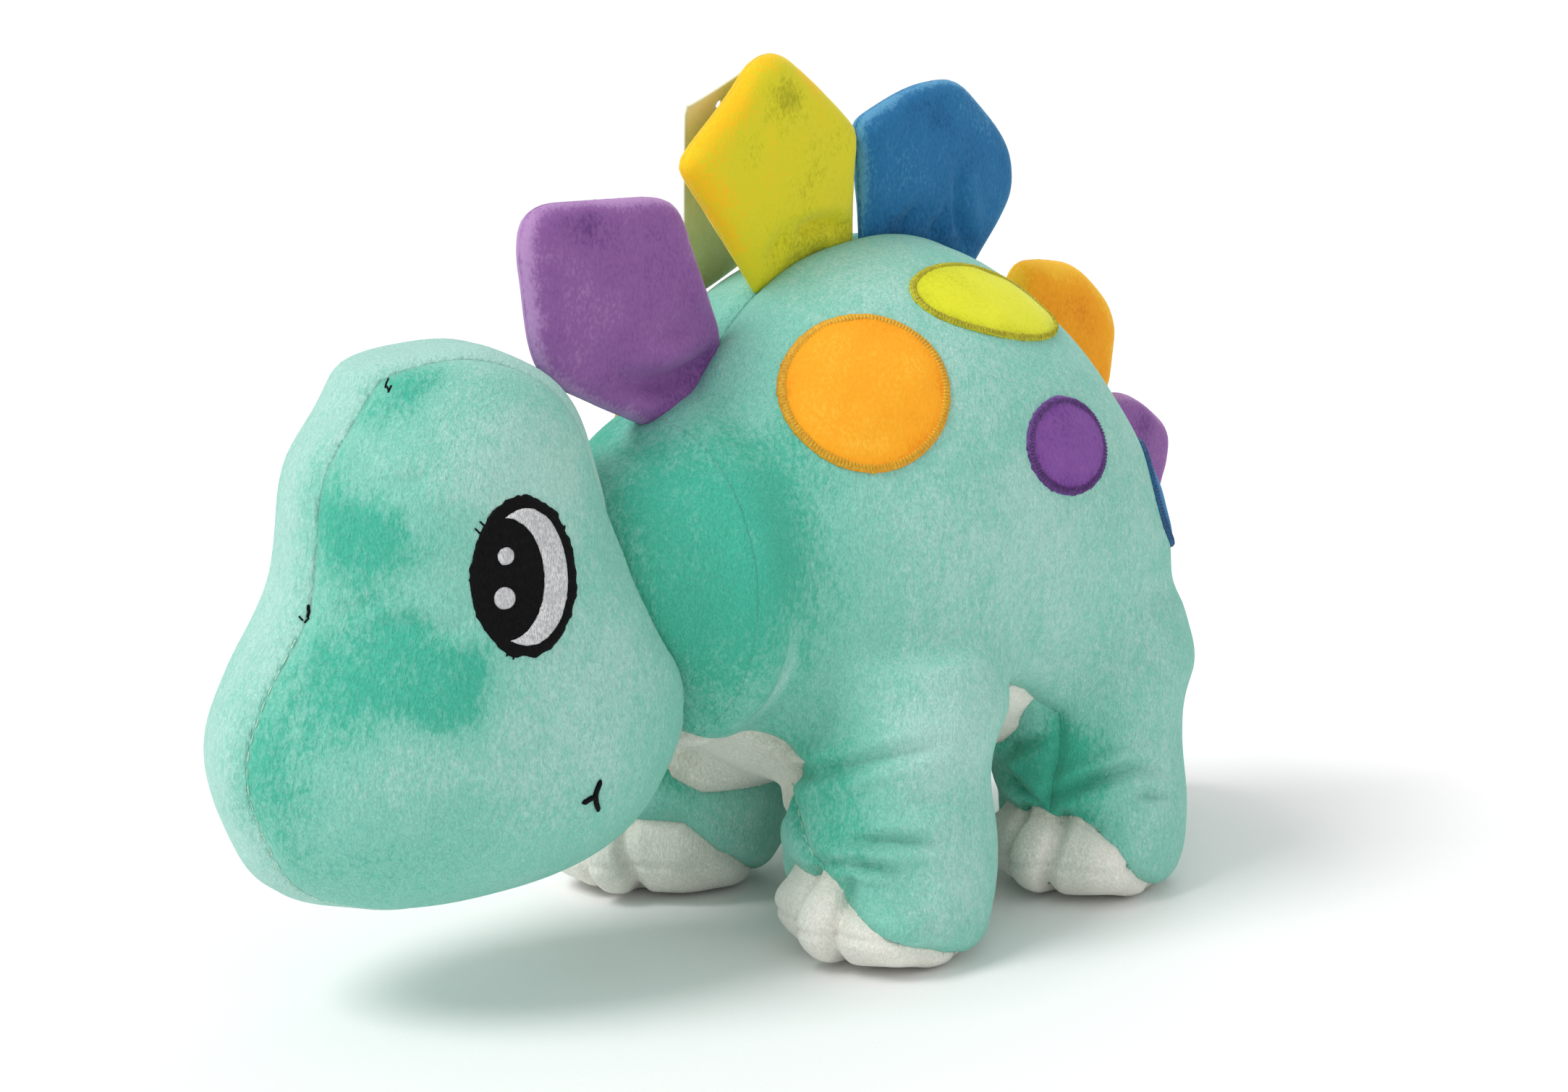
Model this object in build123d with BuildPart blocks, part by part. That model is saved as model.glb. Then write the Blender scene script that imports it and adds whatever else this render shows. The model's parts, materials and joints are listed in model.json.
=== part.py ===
from build123d import *

# A stuffed toy dinosaur with five padded back plates, built as its sewn panels, fillings and trims.
# The animal stands on four legs and faces -Y. Its left side is +X and +Z is up. The origin lies on the
# floor, under the middle of the whole toy. Lengths are in millimetres and angles in degrees.

import math
import os

os.makedirs("parts", exist_ok=True)

# Fabric and gaps
CLOTH = 2.0  # plush cloth with its pile
PATCH = 1.2  # patch or embroidery standing on the cloth
RUNNING_GAP = 0.4  # between bodies that move past each other
SEAT = 1.0  # a plate's hinge line above the back
LIFT = 2.2  # its sewn edge above the back
FRONT_GAP = 1.0  # and, for the front plate, ahead of the torso's front end
BEYOND = 200  # reach of the blocks and bars that only cut

# Torso: (y, centre height, half width, half height) of each cross-section, front to rear
TORSO_SECTIONS = [
    (-55, 138, 47, 59),
    (-32, 142, 62, 77),
    (5, 146, 79, 97),
    (45, 148, 87, 101),
    (85, 142, 88, 97),
    (118, 127, 84, 83),
    (148, 107, 70, 65),
    (171, 92, 50, 47),
    (185, 85, 38, 33),
]
BELLY_FRONT = -47
BELLY_REAR = 143
BELLY_HALF_WIDTH = 46
BELLY_TOP = 92  # the belly panel lies below this height

# Legs: (height, half width, half length, centre further in than the sole, centre further back)
LEG_SECTIONS = [
    (0, 26, 30, 0, 0),
    (4, 31, 35, 0, 0),
    (14, 35, 40, 0, 0),
    (26, 36, 41, 1, 2),
    (46, 35, 38, 4, 7),
    (70, 35, 37, 6, 10),
    (105, 33, 36, 9, 14),
]
LEG_X = 62
FRONT_LEG_Y = -11
HIND_LEG_Y = 103
SOLE_TOP = 2.0
TOE_TOP = 31
TOE_BACK = -8  # toe cap's rear edge, from the leg's centre

# Neck and head
NECK = Vector(0, -71, 141)
NECK_RADIUS = 42
NECK_OPENING = 26
HEAD = Vector(8, -78, 128)
HEAD_TURN = -20  # degrees about Z: the head looks a little to its right
# (height from the head's origin, centre, half width, half length)
HEAD_SECTIONS = [
    (-92, -94, 16, 19),
    (-82, -84, 36, 52),
    (-65, -76, 50, 73),
    (-40, -73, 56, 83),
    (-15, -69, 56, 80),
    (10, -66, 54, 66),
    (35, -72, 53, 57),
    (62, -75, 49, 51),
    (84, -76, 37, 38),
    (96, -76, 19, 19),
]
GUSSET_HALF_WIDTH = 20
RECESS_ANGLE = 66  # half angle of the hollow behind the head, about the neck's axis
RECESS_START = -6  # the hollow begins this far ahead of the neck's centre
RECESS_DEPTH = 90

# Eyes, in the head's side view: distance ahead of the head's origin, and height above it
EYE_CENTRE = (-63.5, 26)
EYE_HALF = (19, 26)
EYE_RIM = 4
GLINTS = [((-70.5, 33.5), 2.9), ((-71.5, 20), 3.6)]
PUPIL_SHIFT = 8.5  # the black pupil's centre ahead of the eye's
PUPIL_HALF = (14.7, 20)
NOSTRIL_AT = (22.5, 15)  # to each side, and above the head's origin
NOSTRIL_SIZE = (7, 1.6)
NOSTRIL_START = -80  # the head's front lies beyond this distance
MOUTH_AT = (-35, -54)
MOUTH_HALF = 7  # half height of the curved stitch, and length of the level one
MOUTH_BEND = 2
MOUTH_STITCH = 1.8

# Back plates: name, seam centre along Y, lean from upright, seam half width, then the outline's corners
# (front, tip and rear) as (along the back, out from the back)
PLATES = [
    ("purple_front", -50, 41, 19, (-38, 54), (-17, 98), (35, 56)),
    ("yellow", 9, 14, 26, (-48, 47), (-6, 78), (33, 38)),
    ("blue", 68, -8, 30, (-35, 34), (6, 62), (44, 34)),
    ("orange", 136, -46, 24, (-37, 27), (11, 54), (36, 30)),
    ("purple_rear", 168, -62, 17, (-20, 28), (10, 59), (36, 34)),
]
PLATE_THICK = 17
PLATE_EDGE = 3.2
PLATE_CORNER = 11
PLATE_ROOT = 8  # the outline runs this far down before the back cuts it off
PLATE_BELLY = (0.45, 0.72)  # heights, as shares, where a plate is thickest and begins to thin
PLATE_THIN = 0.9  # its thickness at the second of them, as a share

# Tail
TAIL_ROOT = Vector(0, 175, 78)
TAIL_RADIUS = 30
TAIL_SLOPE = 50  # degrees below level
TAIL_TAPER = [(20, 25.5), (45, 19), (66, 11)]  # (along the tail, radius)
TAIL_TIP = 76.5
TAIL_CLEARANCE = 8  # the torso is cut back this far round the tail
TAIL_ROUND = 12  # the root is a ball up to this angle past its widest point

# Spots on each flank: name, point on the left flank, the way it faces there, half sizes
SPOTS = [
    ("orange", (50, -12, 200), (0.75, -0.3, 0.6), (31, 30)),
    ("yellow", (50, 53, 227), (0.62, 0.11, 0.77), (31, 28)),
    ("purple", (82, 61, 177), (0.97, 0.05, 0.2), (22, 18)),
    ("blue", (66, 130, 148), (0.75, 0.5, 0.4), (20, 22)),
]
SPOT_REACH = 30  # each spot's outline is cut through the flank this far in and out

# Card tag, leaning on the second plate's right side, and its ribbon loop on the ridge
TAG_WIDTH = 34
TAG_HEIGHT = 86
TAG_THICK = 0.8
TAG_CORNER = 3
TAG_FOOT = Vector(-42, 7, 231.5)  # middle of its lower edge
TAG_SLANT = 23  # its lower edge rises with the back's slope
TAG_LEAN = 22  # towards the plate
LOOP_AT = (-6, 32.5)  # x and y of its middle
LOOP_HALF_LENGTH = 3.5
LOOP_HEIGHT = 7
LOOP_THICK = 1.2
LOOP_WIDTH = 5


def save(part, name):
    """Label a finished piece and write its file."""
    part.label = name
    export_step(part, f"parts/{name}.step")


def torso_plane(y, height):
    return Plane(origin=(0, y, height), x_dir=(1, 0, 0), z_dir=(0, -1, 0))


def torso_form(inset):
    """The torso's closed form, its sections drawn in by the inset."""
    with BuildPart() as form:
        for y, height, half_width, half_height in TORSO_SECTIONS:
            with BuildSketch(torso_plane(y, height)):
                Ellipse(half_width - inset, half_height - inset)
        loft()
    return form.part


def leg_form(side, y, inset, floor):
    """A leg's closed form, from its sole up into the torso."""
    with BuildPart() as form:
        for height, half_width, half_length, inward, back in LEG_SECTIONS:
            centre = (side * (LEG_X - inward), y + back, max(height, floor))
            with BuildSketch(Plane(origin=centre)):
                Ellipse(half_width - inset, half_length - inset)
        loft()
    return form.part


def head_plane(height=0.0, ahead=0.0):
    """A level plane of the head's own frame, at a height and a distance ahead of its origin."""
    frame = Plane(origin=HEAD, x_dir=Vector(1, 0, 0).rotate(Axis.Z, HEAD_TURN), z_dir=(0, 0, 1))
    return Plane(origin=frame.from_local_coords(Vector(0, ahead, height)), x_dir=frame.x_dir,
                 z_dir=frame.z_dir)


def head_form(inset):
    """The head's closed form, from under the chin to the crown."""
    last = len(HEAD_SECTIONS) - 1
    with BuildPart() as form:
        for i, (height, centre, half_width, half_length) in enumerate(HEAD_SECTIONS):
            end = inset if i == 0 else -inset if i == last else 0
            with BuildSketch(head_plane(height + end, centre)):
                Ellipse(half_width - inset, half_length - inset)
        loft()
    return form.part


def ball(centre, radius):
    with BuildPart(Plane(origin=centre)) as form:
        Sphere(radius)
    return form.part


def half_space(side):
    """A large block that fills one side of the middle plane."""
    with BuildPart(Plane(origin=(side * 1.5 * BEYOND, 0, 0))) as block:
        Box(3 * BEYOND, 4 * BEYOND, 4 * BEYOND)
    return block.part


LEFT = half_space(1)
RIGHT = half_space(-1)


# ---------------------------------------------------------------- torso
# The neck and the tail sit in round sockets at its two ends.
tail_frame = Plane(origin=TAIL_ROOT, x_dir=(1, 0, 0),
                   z_dir=Vector(0, 1, 0).rotate(Axis.X, -TAIL_SLOPE))
with BuildPart() as sockets:
    add(ball(NECK, NECK_RADIUS + RUNNING_GAP))
    add(ball(TAIL_ROOT, TAIL_RADIUS + RUNNING_GAP))
    with BuildSketch(tail_frame):
        Circle(TAIL_RADIUS + TAIL_CLEARANCE)
    extrude(amount=TAIL_TIP)

with BuildPart() as torso_outer:
    add(torso_form(0))
    add(sockets.part, mode=Mode.SUBTRACT)

with BuildPart() as torso_stuffing:
    add(torso_form(CLOTH))
    add(sockets.part, mode=Mode.SUBTRACT)

with BuildPart() as torso_skin:
    add(torso_outer.part)
    add(torso_form(CLOTH), mode=Mode.SUBTRACT)

# The belly panel is pointed at both ends, like a leaf seen from below.
with BuildPart() as belly_outline:
    with BuildSketch():
        with BuildLine():
            middle = (BELLY_FRONT + BELLY_REAR) / 2
            ThreePointArc((0, BELLY_FRONT), (BELLY_HALF_WIDTH, middle), (0, BELLY_REAR))
            ThreePointArc((0, BELLY_REAR), (-BELLY_HALF_WIDTH, middle), (0, BELLY_FRONT))
        make_face()
    extrude(amount=BELLY_TOP)

with BuildPart() as belly_panel:
    add(torso_skin.part)
    add(belly_outline.part, mode=Mode.INTERSECT)

with BuildPart() as left_body_panel:
    add(torso_skin.part)
    add(belly_outline.part, mode=Mode.SUBTRACT)
    add(LEFT, mode=Mode.INTERSECT)

with BuildPart() as right_body_panel:
    add(torso_skin.part)
    add(belly_outline.part, mode=Mode.SUBTRACT)
    add(RIGHT, mode=Mode.INTERSECT)

save(torso_stuffing.part, "torso_stuffing")
save(belly_panel.part, "belly_panel")
save(left_body_panel.part, "left_body_panel")
save(right_body_panel.part, "right_body_panel")


# ---------------------------------------------------------------- legs
def build_leg(name, side, leg_y):
    """One leg: its filling, sole, toe cap and the cloth tube around it."""
    outer = leg_form(side, leg_y, 0, 0)
    inner = leg_form(side, leg_y, CLOTH, SOLE_TOP)
    with BuildPart() as stuffing:
        add(inner)
        add(torso_outer.part, mode=Mode.SUBTRACT)
    with BuildPart() as shell:
        add(outer)
        add(inner, mode=Mode.SUBTRACT)
        add(torso_outer.part, mode=Mode.SUBTRACT)
    with BuildPart(Plane(origin=(side * LEG_X, leg_y, SOLE_TOP / 2))) as sole_zone:
        Box(BEYOND, BEYOND, SOLE_TOP)
    toe_middle = (SOLE_TOP + TOE_TOP) / 2
    with BuildPart(Plane(origin=(side * LEG_X, leg_y + TOE_BACK - BEYOND / 4, toe_middle))) as toe_zone:
        Box(BEYOND, BEYOND / 2, TOE_TOP - SOLE_TOP)
    with BuildPart() as sole:
        add(shell.part)
        add(sole_zone.part, mode=Mode.INTERSECT)
    with BuildPart() as toes:
        add(shell.part)
        add(toe_zone.part, mode=Mode.INTERSECT)
    with BuildPart() as skin:
        add(shell.part)
        add(sole_zone.part, mode=Mode.SUBTRACT)
        add(toe_zone.part, mode=Mode.SUBTRACT)
    save(stuffing.part, f"{name}_leg_stuffing")
    save(sole.part, f"{name}_sole")
    save(toes.part, f"{name}_toes")
    save(skin.part, f"{name}_leg_skin")


for leg_name, leg_side, leg_y in (
    ("front_left", 1, FRONT_LEG_Y),
    ("front_right", -1, FRONT_LEG_Y),
    ("hind_left", 1, HIND_LEG_Y),
    ("hind_right", -1, HIND_LEG_Y),
):
    build_leg(leg_name, leg_side, leg_y)


# ---------------------------------------------------------------- spots
with BuildPart() as spot_layer:
    add(torso_form(-PATCH))
    add(torso_form(0), mode=Mode.SUBTRACT)

for spot_name, (x, y, z), (facing_x, facing_y, facing_z), spot_half in SPOTS:
    for side_name, side in (("left", 1), ("right", -1)):
        facing = Vector(side * facing_x, facing_y, facing_z)
        level = Vector(0, 0, 1).cross(facing)
        with BuildPart() as spot:
            with BuildSketch(Plane(origin=(side * x, y, z), x_dir=level, z_dir=facing)):
                Ellipse(*spot_half)
            extrude(amount=SPOT_REACH, both=True)
            add(spot_layer.part, mode=Mode.INTERSECT)
        save(spot.part, f"{side_name}_{spot_name}_spot")


# ---------------------------------------------------------------- neck
# The neck's cloth is a rounded tube, open towards the torso's and the head's fillings.
with BuildPart() as neck_skin:
    add(ball(NECK, NECK_RADIUS))
    add(ball(NECK, NECK_RADIUS - CLOTH), mode=Mode.SUBTRACT)
    with BuildSketch(Plane(origin=NECK, x_dir=(1, 0, 0), z_dir=(0, 1, 0))):
        Circle(NECK_OPENING)
    extrude(amount=2 * NECK_RADIUS, both=True, mode=Mode.SUBTRACT)

save(ball(NECK, NECK_RADIUS - CLOTH), "neck_stuffing")
save(neck_skin.part, "neck_skin")


# ---------------------------------------------------------------- head
# The back of the head is hollowed around the neck, so that it clears the chest as it turns and nods.
recess_radius = RECESS_DEPTH * math.tan(math.radians(RECESS_ANGLE))
with BuildPart() as recess:
    with Locations(Plane(origin=NECK)):
        Sphere(NECK_RADIUS + RUNNING_GAP)
    with BuildSketch(Plane(origin=NECK + Vector(0, RECESS_START, 0), x_dir=(1, 0, 0), z_dir=(0, 1, 0))):
        Circle(NECK_RADIUS)
    with BuildSketch(Plane(origin=NECK + Vector(0, RECESS_DEPTH, 0), x_dir=(1, 0, 0), z_dir=(0, 1, 0))):
        Circle(recess_radius)
    loft()

with BuildPart() as head_outer:
    add(head_form(0))
    add(recess.part, mode=Mode.SUBTRACT)

with BuildPart() as head_stuffing:
    add(head_form(CLOTH))
    add(recess.part, mode=Mode.SUBTRACT)

with BuildPart() as head_shell:
    add(head_outer.part)
    add(head_form(CLOTH), mode=Mode.SUBTRACT)

# The centre strip runs from the chin over the nose and the crown.
with BuildPart(head_plane()) as gusset_zone:
    Box(2 * GUSSET_HALF_WIDTH, 3 * BEYOND, 3 * BEYOND)

with BuildPart() as head_gusset:
    add(head_shell.part)
    add(gusset_zone.part, mode=Mode.INTERSECT)

with BuildPart(head_plane()) as beside_gusset:
    with Locations((1.5 * BEYOND, 0, 0)):
        Box(3 * BEYOND, 3 * BEYOND, 3 * BEYOND)

with BuildPart() as head_left_panel:
    add(head_shell.part)
    add(gusset_zone.part, mode=Mode.SUBTRACT)
    add(beside_gusset.part, mode=Mode.INTERSECT)

with BuildPart() as head_right_panel:
    add(head_shell.part)
    add(gusset_zone.part, mode=Mode.SUBTRACT)
    add(beside_gusset.part, mode=Mode.SUBTRACT)

save(head_stuffing.part, "head_stuffing")
save(head_gusset.part, "head_gusset")
save(head_left_panel.part, "head_left_panel")
save(head_right_panel.part, "head_right_panel")


# ---------------------------------------------------------------- face
# Embroidery is a thin raised layer on the head, cut out along straight lines of sight.
with BuildPart() as face_layer:
    add(head_form(-PATCH))
    add(head_form(0), mode=Mode.SUBTRACT)

head_across = head_plane().x_dir
head_back = head_plane().y_dir


def side_view(side, ahead, height):
    """A plane through the head's middle that looks out to one side, at a point of the side view."""
    origin = Vector(HEAD) + head_back * ahead + Vector(0, 0, height)
    return Plane(origin=origin, x_dir=head_back * side, z_dir=head_across * side)


def oval(side, ahead, height, half_length, half_height):
    """A straight oval bar that runs from the head's middle out through one side."""
    with BuildPart() as bar:
        with BuildSketch(side_view(side, ahead, height)):
            Ellipse(half_length, half_height)
        extrude(amount=BEYOND)
    return bar.part


for side_name, side in (("left", 1), ("right", -1)):
    eye_y, eye_z = EYE_CENTRE
    with BuildPart() as whites:
        add(oval(side, eye_y, eye_z, EYE_HALF[0] - EYE_RIM, EYE_HALF[1] - EYE_RIM))
        add(oval(side, eye_y - PUPIL_SHIFT, eye_z, *PUPIL_HALF), mode=Mode.SUBTRACT)
        for (glint_y, glint_z), glint_radius in GLINTS:
            add(oval(side, glint_y, glint_z, glint_radius, glint_radius))
    with BuildPart() as eye_white:
        add(face_layer.part)
        add(whites.part, mode=Mode.INTERSECT)
    with BuildPart() as eye_black:
        add(face_layer.part)
        add(oval(side, eye_y, eye_z, *EYE_HALF), mode=Mode.INTERSECT)
        add(whites.part, mode=Mode.SUBTRACT)
    save(eye_white.part, f"{side_name}_eye_white")
    save(eye_black.part, f"{side_name}_eye_black")

# Each nostril is one short upright tack, beside the centre strip's seam.
with BuildPart() as nostril_bars:
    for side in (1, -1):
        across, height = NOSTRIL_AT
        start = Vector(HEAD) + head_across * (side * across) + Vector(0, 0, height)
        start = start + head_back * NOSTRIL_START
        with BuildSketch(Plane(origin=start, x_dir=head_across, z_dir=-head_back)):
            SlotOverall(*NOSTRIL_SIZE, rotation=90)
        extrude(amount=BEYOND)

with BuildPart() as nostril_stitches:
    add(face_layer.part)
    add(nostril_bars.part, mode=Mode.INTERSECT)

save(nostril_stitches.part, "nostril_stitches")

# The mouth is one short curved stitch at each corner.
with BuildPart() as mouth_bars:
    for side in (1, -1):
        with BuildSketch(side_view(side, *MOUTH_AT)):
            with BuildLine():
                ThreePointArc((0, MOUTH_HALF), (-MOUTH_BEND * side, 0), (0, -MOUTH_HALF))
                Line((-MOUTH_BEND * side, 0), (-MOUTH_HALF * side, -MOUTH_BEND / 2))
            trace(line_width=MOUTH_STITCH)
        extrude(amount=BEYOND)

with BuildPart() as mouth_stitches:
    add(face_layer.part)
    add(mouth_bars.part, mode=Mode.INTERSECT)

save(mouth_stitches.part, "mouth_stitches")


# ---------------------------------------------------------------- back plates
torso_form_plain = torso_form(0)


def back_height(y):
    """The height of the back's ridge at one place along the torso."""
    ridge = Axis((0, y, 2 * BEYOND), (0, 0, -1))
    points = torso_form_plain.find_intersection_points(ridge)
    return max(point.Z for point, normal in points)


def plate_form(base, lean, seam_half, corners, inset, ahead):
    """A plate's padded form: its outline cut by a leaf-shaped side profile, and by the back it sits on."""
    along = Vector(0, 1, 0).rotate(Axis.X, lean)
    out = Vector(0, 0, 1).rotate(Axis.X, lean)
    foot = Vector(0, base, back_height(base)) + out * SEAT
    front, tip, rear = corners
    height = tip[1] + PLATE_EDGE / 2
    wide, thin = (height * share for share in PLATE_BELLY)
    half = PLATE_THICK / 2 - inset
    edge = (PLATE_EDGE - inset) / 2
    with BuildPart() as form:
        with BuildSketch(Plane(origin=foot, x_dir=along, z_dir=(1, 0, 0))) as outline:
            Polygon((-seam_half, -PLATE_ROOT), (-seam_half, 0), front, tip, rear, (seam_half, 0),
                    (seam_half, -PLATE_ROOT), align=None)
            fillet(outline.vertices().filter_by(lambda v: v.Y > 1), PLATE_CORNER)
            if inset:
                offset(amount=-inset)
        extrude(amount=PLATE_THICK, both=True)
        with BuildSketch(Plane(origin=foot, x_dir=(1, 0, 0), z_dir=-along)):
            with BuildLine():
                Polyline((-edge, 0), (-edge, -PLATE_ROOT), (edge, -PLATE_ROOT), (edge, 0))
                Spline((edge, 0), (half, wide), (half * PLATE_THIN, thin), (edge, height))
                Line((edge, height), (-edge, height))
                Spline((-edge, height), (-half * PLATE_THIN, thin), (-half, wide), (-edge, 0))
            make_face()
        extrude(amount=BEYOND, both=True, mode=Mode.INTERSECT)
        add(torso_form(-LIFT - inset), mode=Mode.SUBTRACT)
        if ahead:
            add(torso_form(-LIFT - inset).moved(Location((0, -ahead, 0))), mode=Mode.SUBTRACT)
    return form.part


for plate_name, base, lean, seam_half, *corners in PLATES:
    ahead = FRONT_GAP if plate_name == "purple_front" else 0
    outer = plate_form(base, lean, seam_half, corners, 0, ahead)
    inner = plate_form(base, lean, seam_half, corners, CLOTH, ahead)
    with BuildPart() as left_face:
        add(outer)
        add(inner, mode=Mode.SUBTRACT)
        add(LEFT, mode=Mode.INTERSECT)
    with BuildPart() as right_face:
        add(outer)
        add(inner, mode=Mode.SUBTRACT)
        add(RIGHT, mode=Mode.INTERSECT)
    save(inner, f"{plate_name}_plate_filling")
    save(left_face.part, f"{plate_name}_plate_left_face")
    save(right_face.part, f"{plate_name}_plate_right_face")


# ---------------------------------------------------------------- tail
def tail_form(inset):
    """The tail turned about its own sloping centre line, round at its root."""
    root = TAIL_RADIUS - inset
    turn = math.radians(TAIL_ROUND)
    section = Plane(origin=TAIL_ROOT, x_dir=(1, 0, 0), z_dir=-tail_frame.y_dir)
    with BuildPart() as form:
        with BuildSketch(section):
            with BuildLine():
                stations = [(radius - inset, along) for along, radius in TAIL_TAPER]
                tip = (0, TAIL_TIP - inset)
                shoulder = (root * math.cos(turn), root * math.sin(turn))
                ThreePointArc((0, -root), (root, 0), shoulder)
                Spline(shoulder, *stations, tip)
                Line(tip, (0, -root))
            make_face()
        revolve(axis=Axis(TAIL_ROOT, tail_frame.z_dir))
    return form.part


with BuildPart() as tail_left_panel:
    add(tail_form(0))
    add(tail_form(CLOTH), mode=Mode.SUBTRACT)
    add(LEFT, mode=Mode.INTERSECT)

with BuildPart() as tail_right_panel:
    add(tail_form(0))
    add(tail_form(CLOTH), mode=Mode.SUBTRACT)
    add(RIGHT, mode=Mode.INTERSECT)

save(tail_form(CLOTH), "tail_stuffing")
save(tail_left_panel.part, "tail_left_panel")
save(tail_right_panel.part, "tail_right_panel")


# ---------------------------------------------------------------- swing tag
# The card stands on the right flank and leans on the second plate.
card_along = Vector(0, 1, 0).rotate(Axis.X, TAG_SLANT)
card_up = Vector(0, 0, 1).rotate(Axis.X, TAG_SLANT).rotate(Axis(TAG_FOOT, card_along), TAG_LEAN)
with BuildPart() as swing_tag:
    with BuildSketch(Plane(origin=TAG_FOOT, x_dir=card_along, z_dir=card_along.cross(card_up))):
        with Locations((0, TAG_HEIGHT / 2)):
            RectangleRounded(TAG_WIDTH, TAG_HEIGHT, TAG_CORNER)
    extrude(amount=TAG_THICK / 2, both=True)

save(swing_tag.part, "swing_tag")

# Its ribbon loop is sewn into the ridge between the second and the third plate.
loop_x, loop_y = LOOP_AT
loop_foot = back_height(loop_y)
with BuildPart() as tag_loop:
    with BuildSketch(Plane(origin=(loop_x, loop_y, loop_foot), x_dir=(0, 1, 0), z_dir=(1, 0, 0))):
        SlotOverall(2 * LOOP_HEIGHT, 2 * LOOP_HALF_LENGTH, rotation=90)
        SlotOverall(2 * (LOOP_HEIGHT - LOOP_THICK), 2 * (LOOP_HALF_LENGTH - LOOP_THICK), rotation=90,
                    mode=Mode.SUBTRACT)
    extrude(amount=LOOP_WIDTH / 2, both=True)
    add(torso_form_plain, mode=Mode.SUBTRACT)

save(tag_loop.part, "tag_loop")
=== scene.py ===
"""The stuffed dinosaur's cloth, embroidery and trims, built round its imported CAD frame.

Lengths are metres in the frame's axes: the animal faces -Y, its left side is +X and +Z is up.
The skins are polygons of smooth distance fields made from the frame's own fillings. They are cut into
sewn panels along seam lines, pressed in along those seams and creased where the cloth folds.
"""

import json
import math

import bpy
import numpy as np
import openvdb
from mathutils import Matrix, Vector
from mathutils.bvhtree import BVHTree
from mathutils.kdtree import KDTree


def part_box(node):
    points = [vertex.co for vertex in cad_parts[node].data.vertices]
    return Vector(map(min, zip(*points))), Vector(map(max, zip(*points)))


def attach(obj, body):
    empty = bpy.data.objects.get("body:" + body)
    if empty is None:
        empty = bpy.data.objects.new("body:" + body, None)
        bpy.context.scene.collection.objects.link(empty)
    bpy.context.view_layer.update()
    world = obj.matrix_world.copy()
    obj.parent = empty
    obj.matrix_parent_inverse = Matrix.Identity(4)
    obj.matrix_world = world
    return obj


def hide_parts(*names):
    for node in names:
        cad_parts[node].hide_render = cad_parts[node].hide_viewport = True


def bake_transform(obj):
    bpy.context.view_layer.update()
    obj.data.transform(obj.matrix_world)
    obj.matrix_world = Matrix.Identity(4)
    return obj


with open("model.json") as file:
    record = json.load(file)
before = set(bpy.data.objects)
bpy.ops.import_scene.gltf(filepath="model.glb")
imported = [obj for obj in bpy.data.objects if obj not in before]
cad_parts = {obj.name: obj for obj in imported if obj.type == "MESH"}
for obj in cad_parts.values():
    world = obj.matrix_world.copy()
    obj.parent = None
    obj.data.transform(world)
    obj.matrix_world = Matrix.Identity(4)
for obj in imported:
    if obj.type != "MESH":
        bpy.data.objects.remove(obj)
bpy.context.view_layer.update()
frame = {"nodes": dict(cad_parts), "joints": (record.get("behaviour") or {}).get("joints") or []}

MM = 0.001
CLOTH = 2 * MM  # pile cloth outside the CAD fillings
SHEET = 1.2 * MM  # thickness of a modelled panel
SEED = 7


# ------------------------------------------------------------------ camera
CAMERA_AZIMUTH = 44.0
CAMERA_ELEVATION = 11.0
CAMERA_DISTANCE = 1.1
CAMERA_TARGET = Vector((-0.0026, 0.0028, 0.137))
CAMERA_LENS = 68.53


def make_camera():
    azimuth, elevation = math.radians(CAMERA_AZIMUTH), math.radians(CAMERA_ELEVATION)
    back = Vector((
        math.sin(azimuth) * math.cos(elevation),
        -math.cos(azimuth) * math.cos(elevation),
        math.sin(elevation),
    ))
    data = bpy.data.cameras.new("camera")
    data.lens = CAMERA_LENS
    data.sensor_width = 36.0
    data.clip_start = 0.01
    camera = bpy.data.objects.new("camera", data)
    camera.location = CAMERA_TARGET + back * CAMERA_DISTANCE
    camera.rotation_mode = "QUATERNION"
    camera.rotation_quaternion = (-back).to_track_quat("-Z", "Y")
    bpy.context.collection.objects.link(camera)
    bpy.context.scene.camera = camera


# ------------------------------------------------------------------ small maths
def smooth_min(a, b, reach):
    """Union of two distance fields with a fillet about reach wide."""
    near = np.maximum(reach - np.abs(a - b), 0) / reach
    return np.minimum(a, b) - near * near * reach / 4


def smooth_max(a, b, reach):
    return -smooth_min(-a, -b, reach)


def bell(distance, width):
    """1 at distance 0, falling off smoothly over width."""
    return np.exp(-((distance / width) ** 2))


def ramp(value, start, end):
    """0 before start, 1 after end, smooth between."""
    t = np.clip((value - start) / (end - start), 0, 1)
    return t * t * (3 - 2 * t)


NOISE_SIDE = 64
noise_lattice = np.random.default_rng(SEED).random((NOISE_SIDE,) * 3).astype(np.float32)


def noise(points, size, octaves=1):
    """Smooth noise from -1 to 1, with lumps about size across."""
    total = np.zeros(len(points))
    share, norm = 1.0, 0.0
    for octave in range(octaves):
        p = points / size * 2**octave + 17.3 * (octave + 1)
        cell = np.floor(p).astype(int)
        t = p - cell
        t = t * t * (3 - 2 * t)
        here = np.zeros(len(points))
        for dx in (0, 1):
            for dy in (0, 1):
                for dz in (0, 1):
                    corner = (cell + (dx, dy, dz)) % NOISE_SIDE
                    weight = (
                        np.abs(1 - dx - t[:, 0]) * np.abs(1 - dy - t[:, 1]) * np.abs(1 - dz - t[:, 2])
                    )
                    here += weight * noise_lattice[corner[:, 0], corner[:, 1], corner[:, 2]]
        total += share * (2 * here - 1)
        norm += share
        share *= 0.5
    return total / norm


# ------------------------------------------------------------------ distance fields
VOXEL = 2 * MM
BAND = 15  # voxels each side of a surface that keep their true distance


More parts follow.
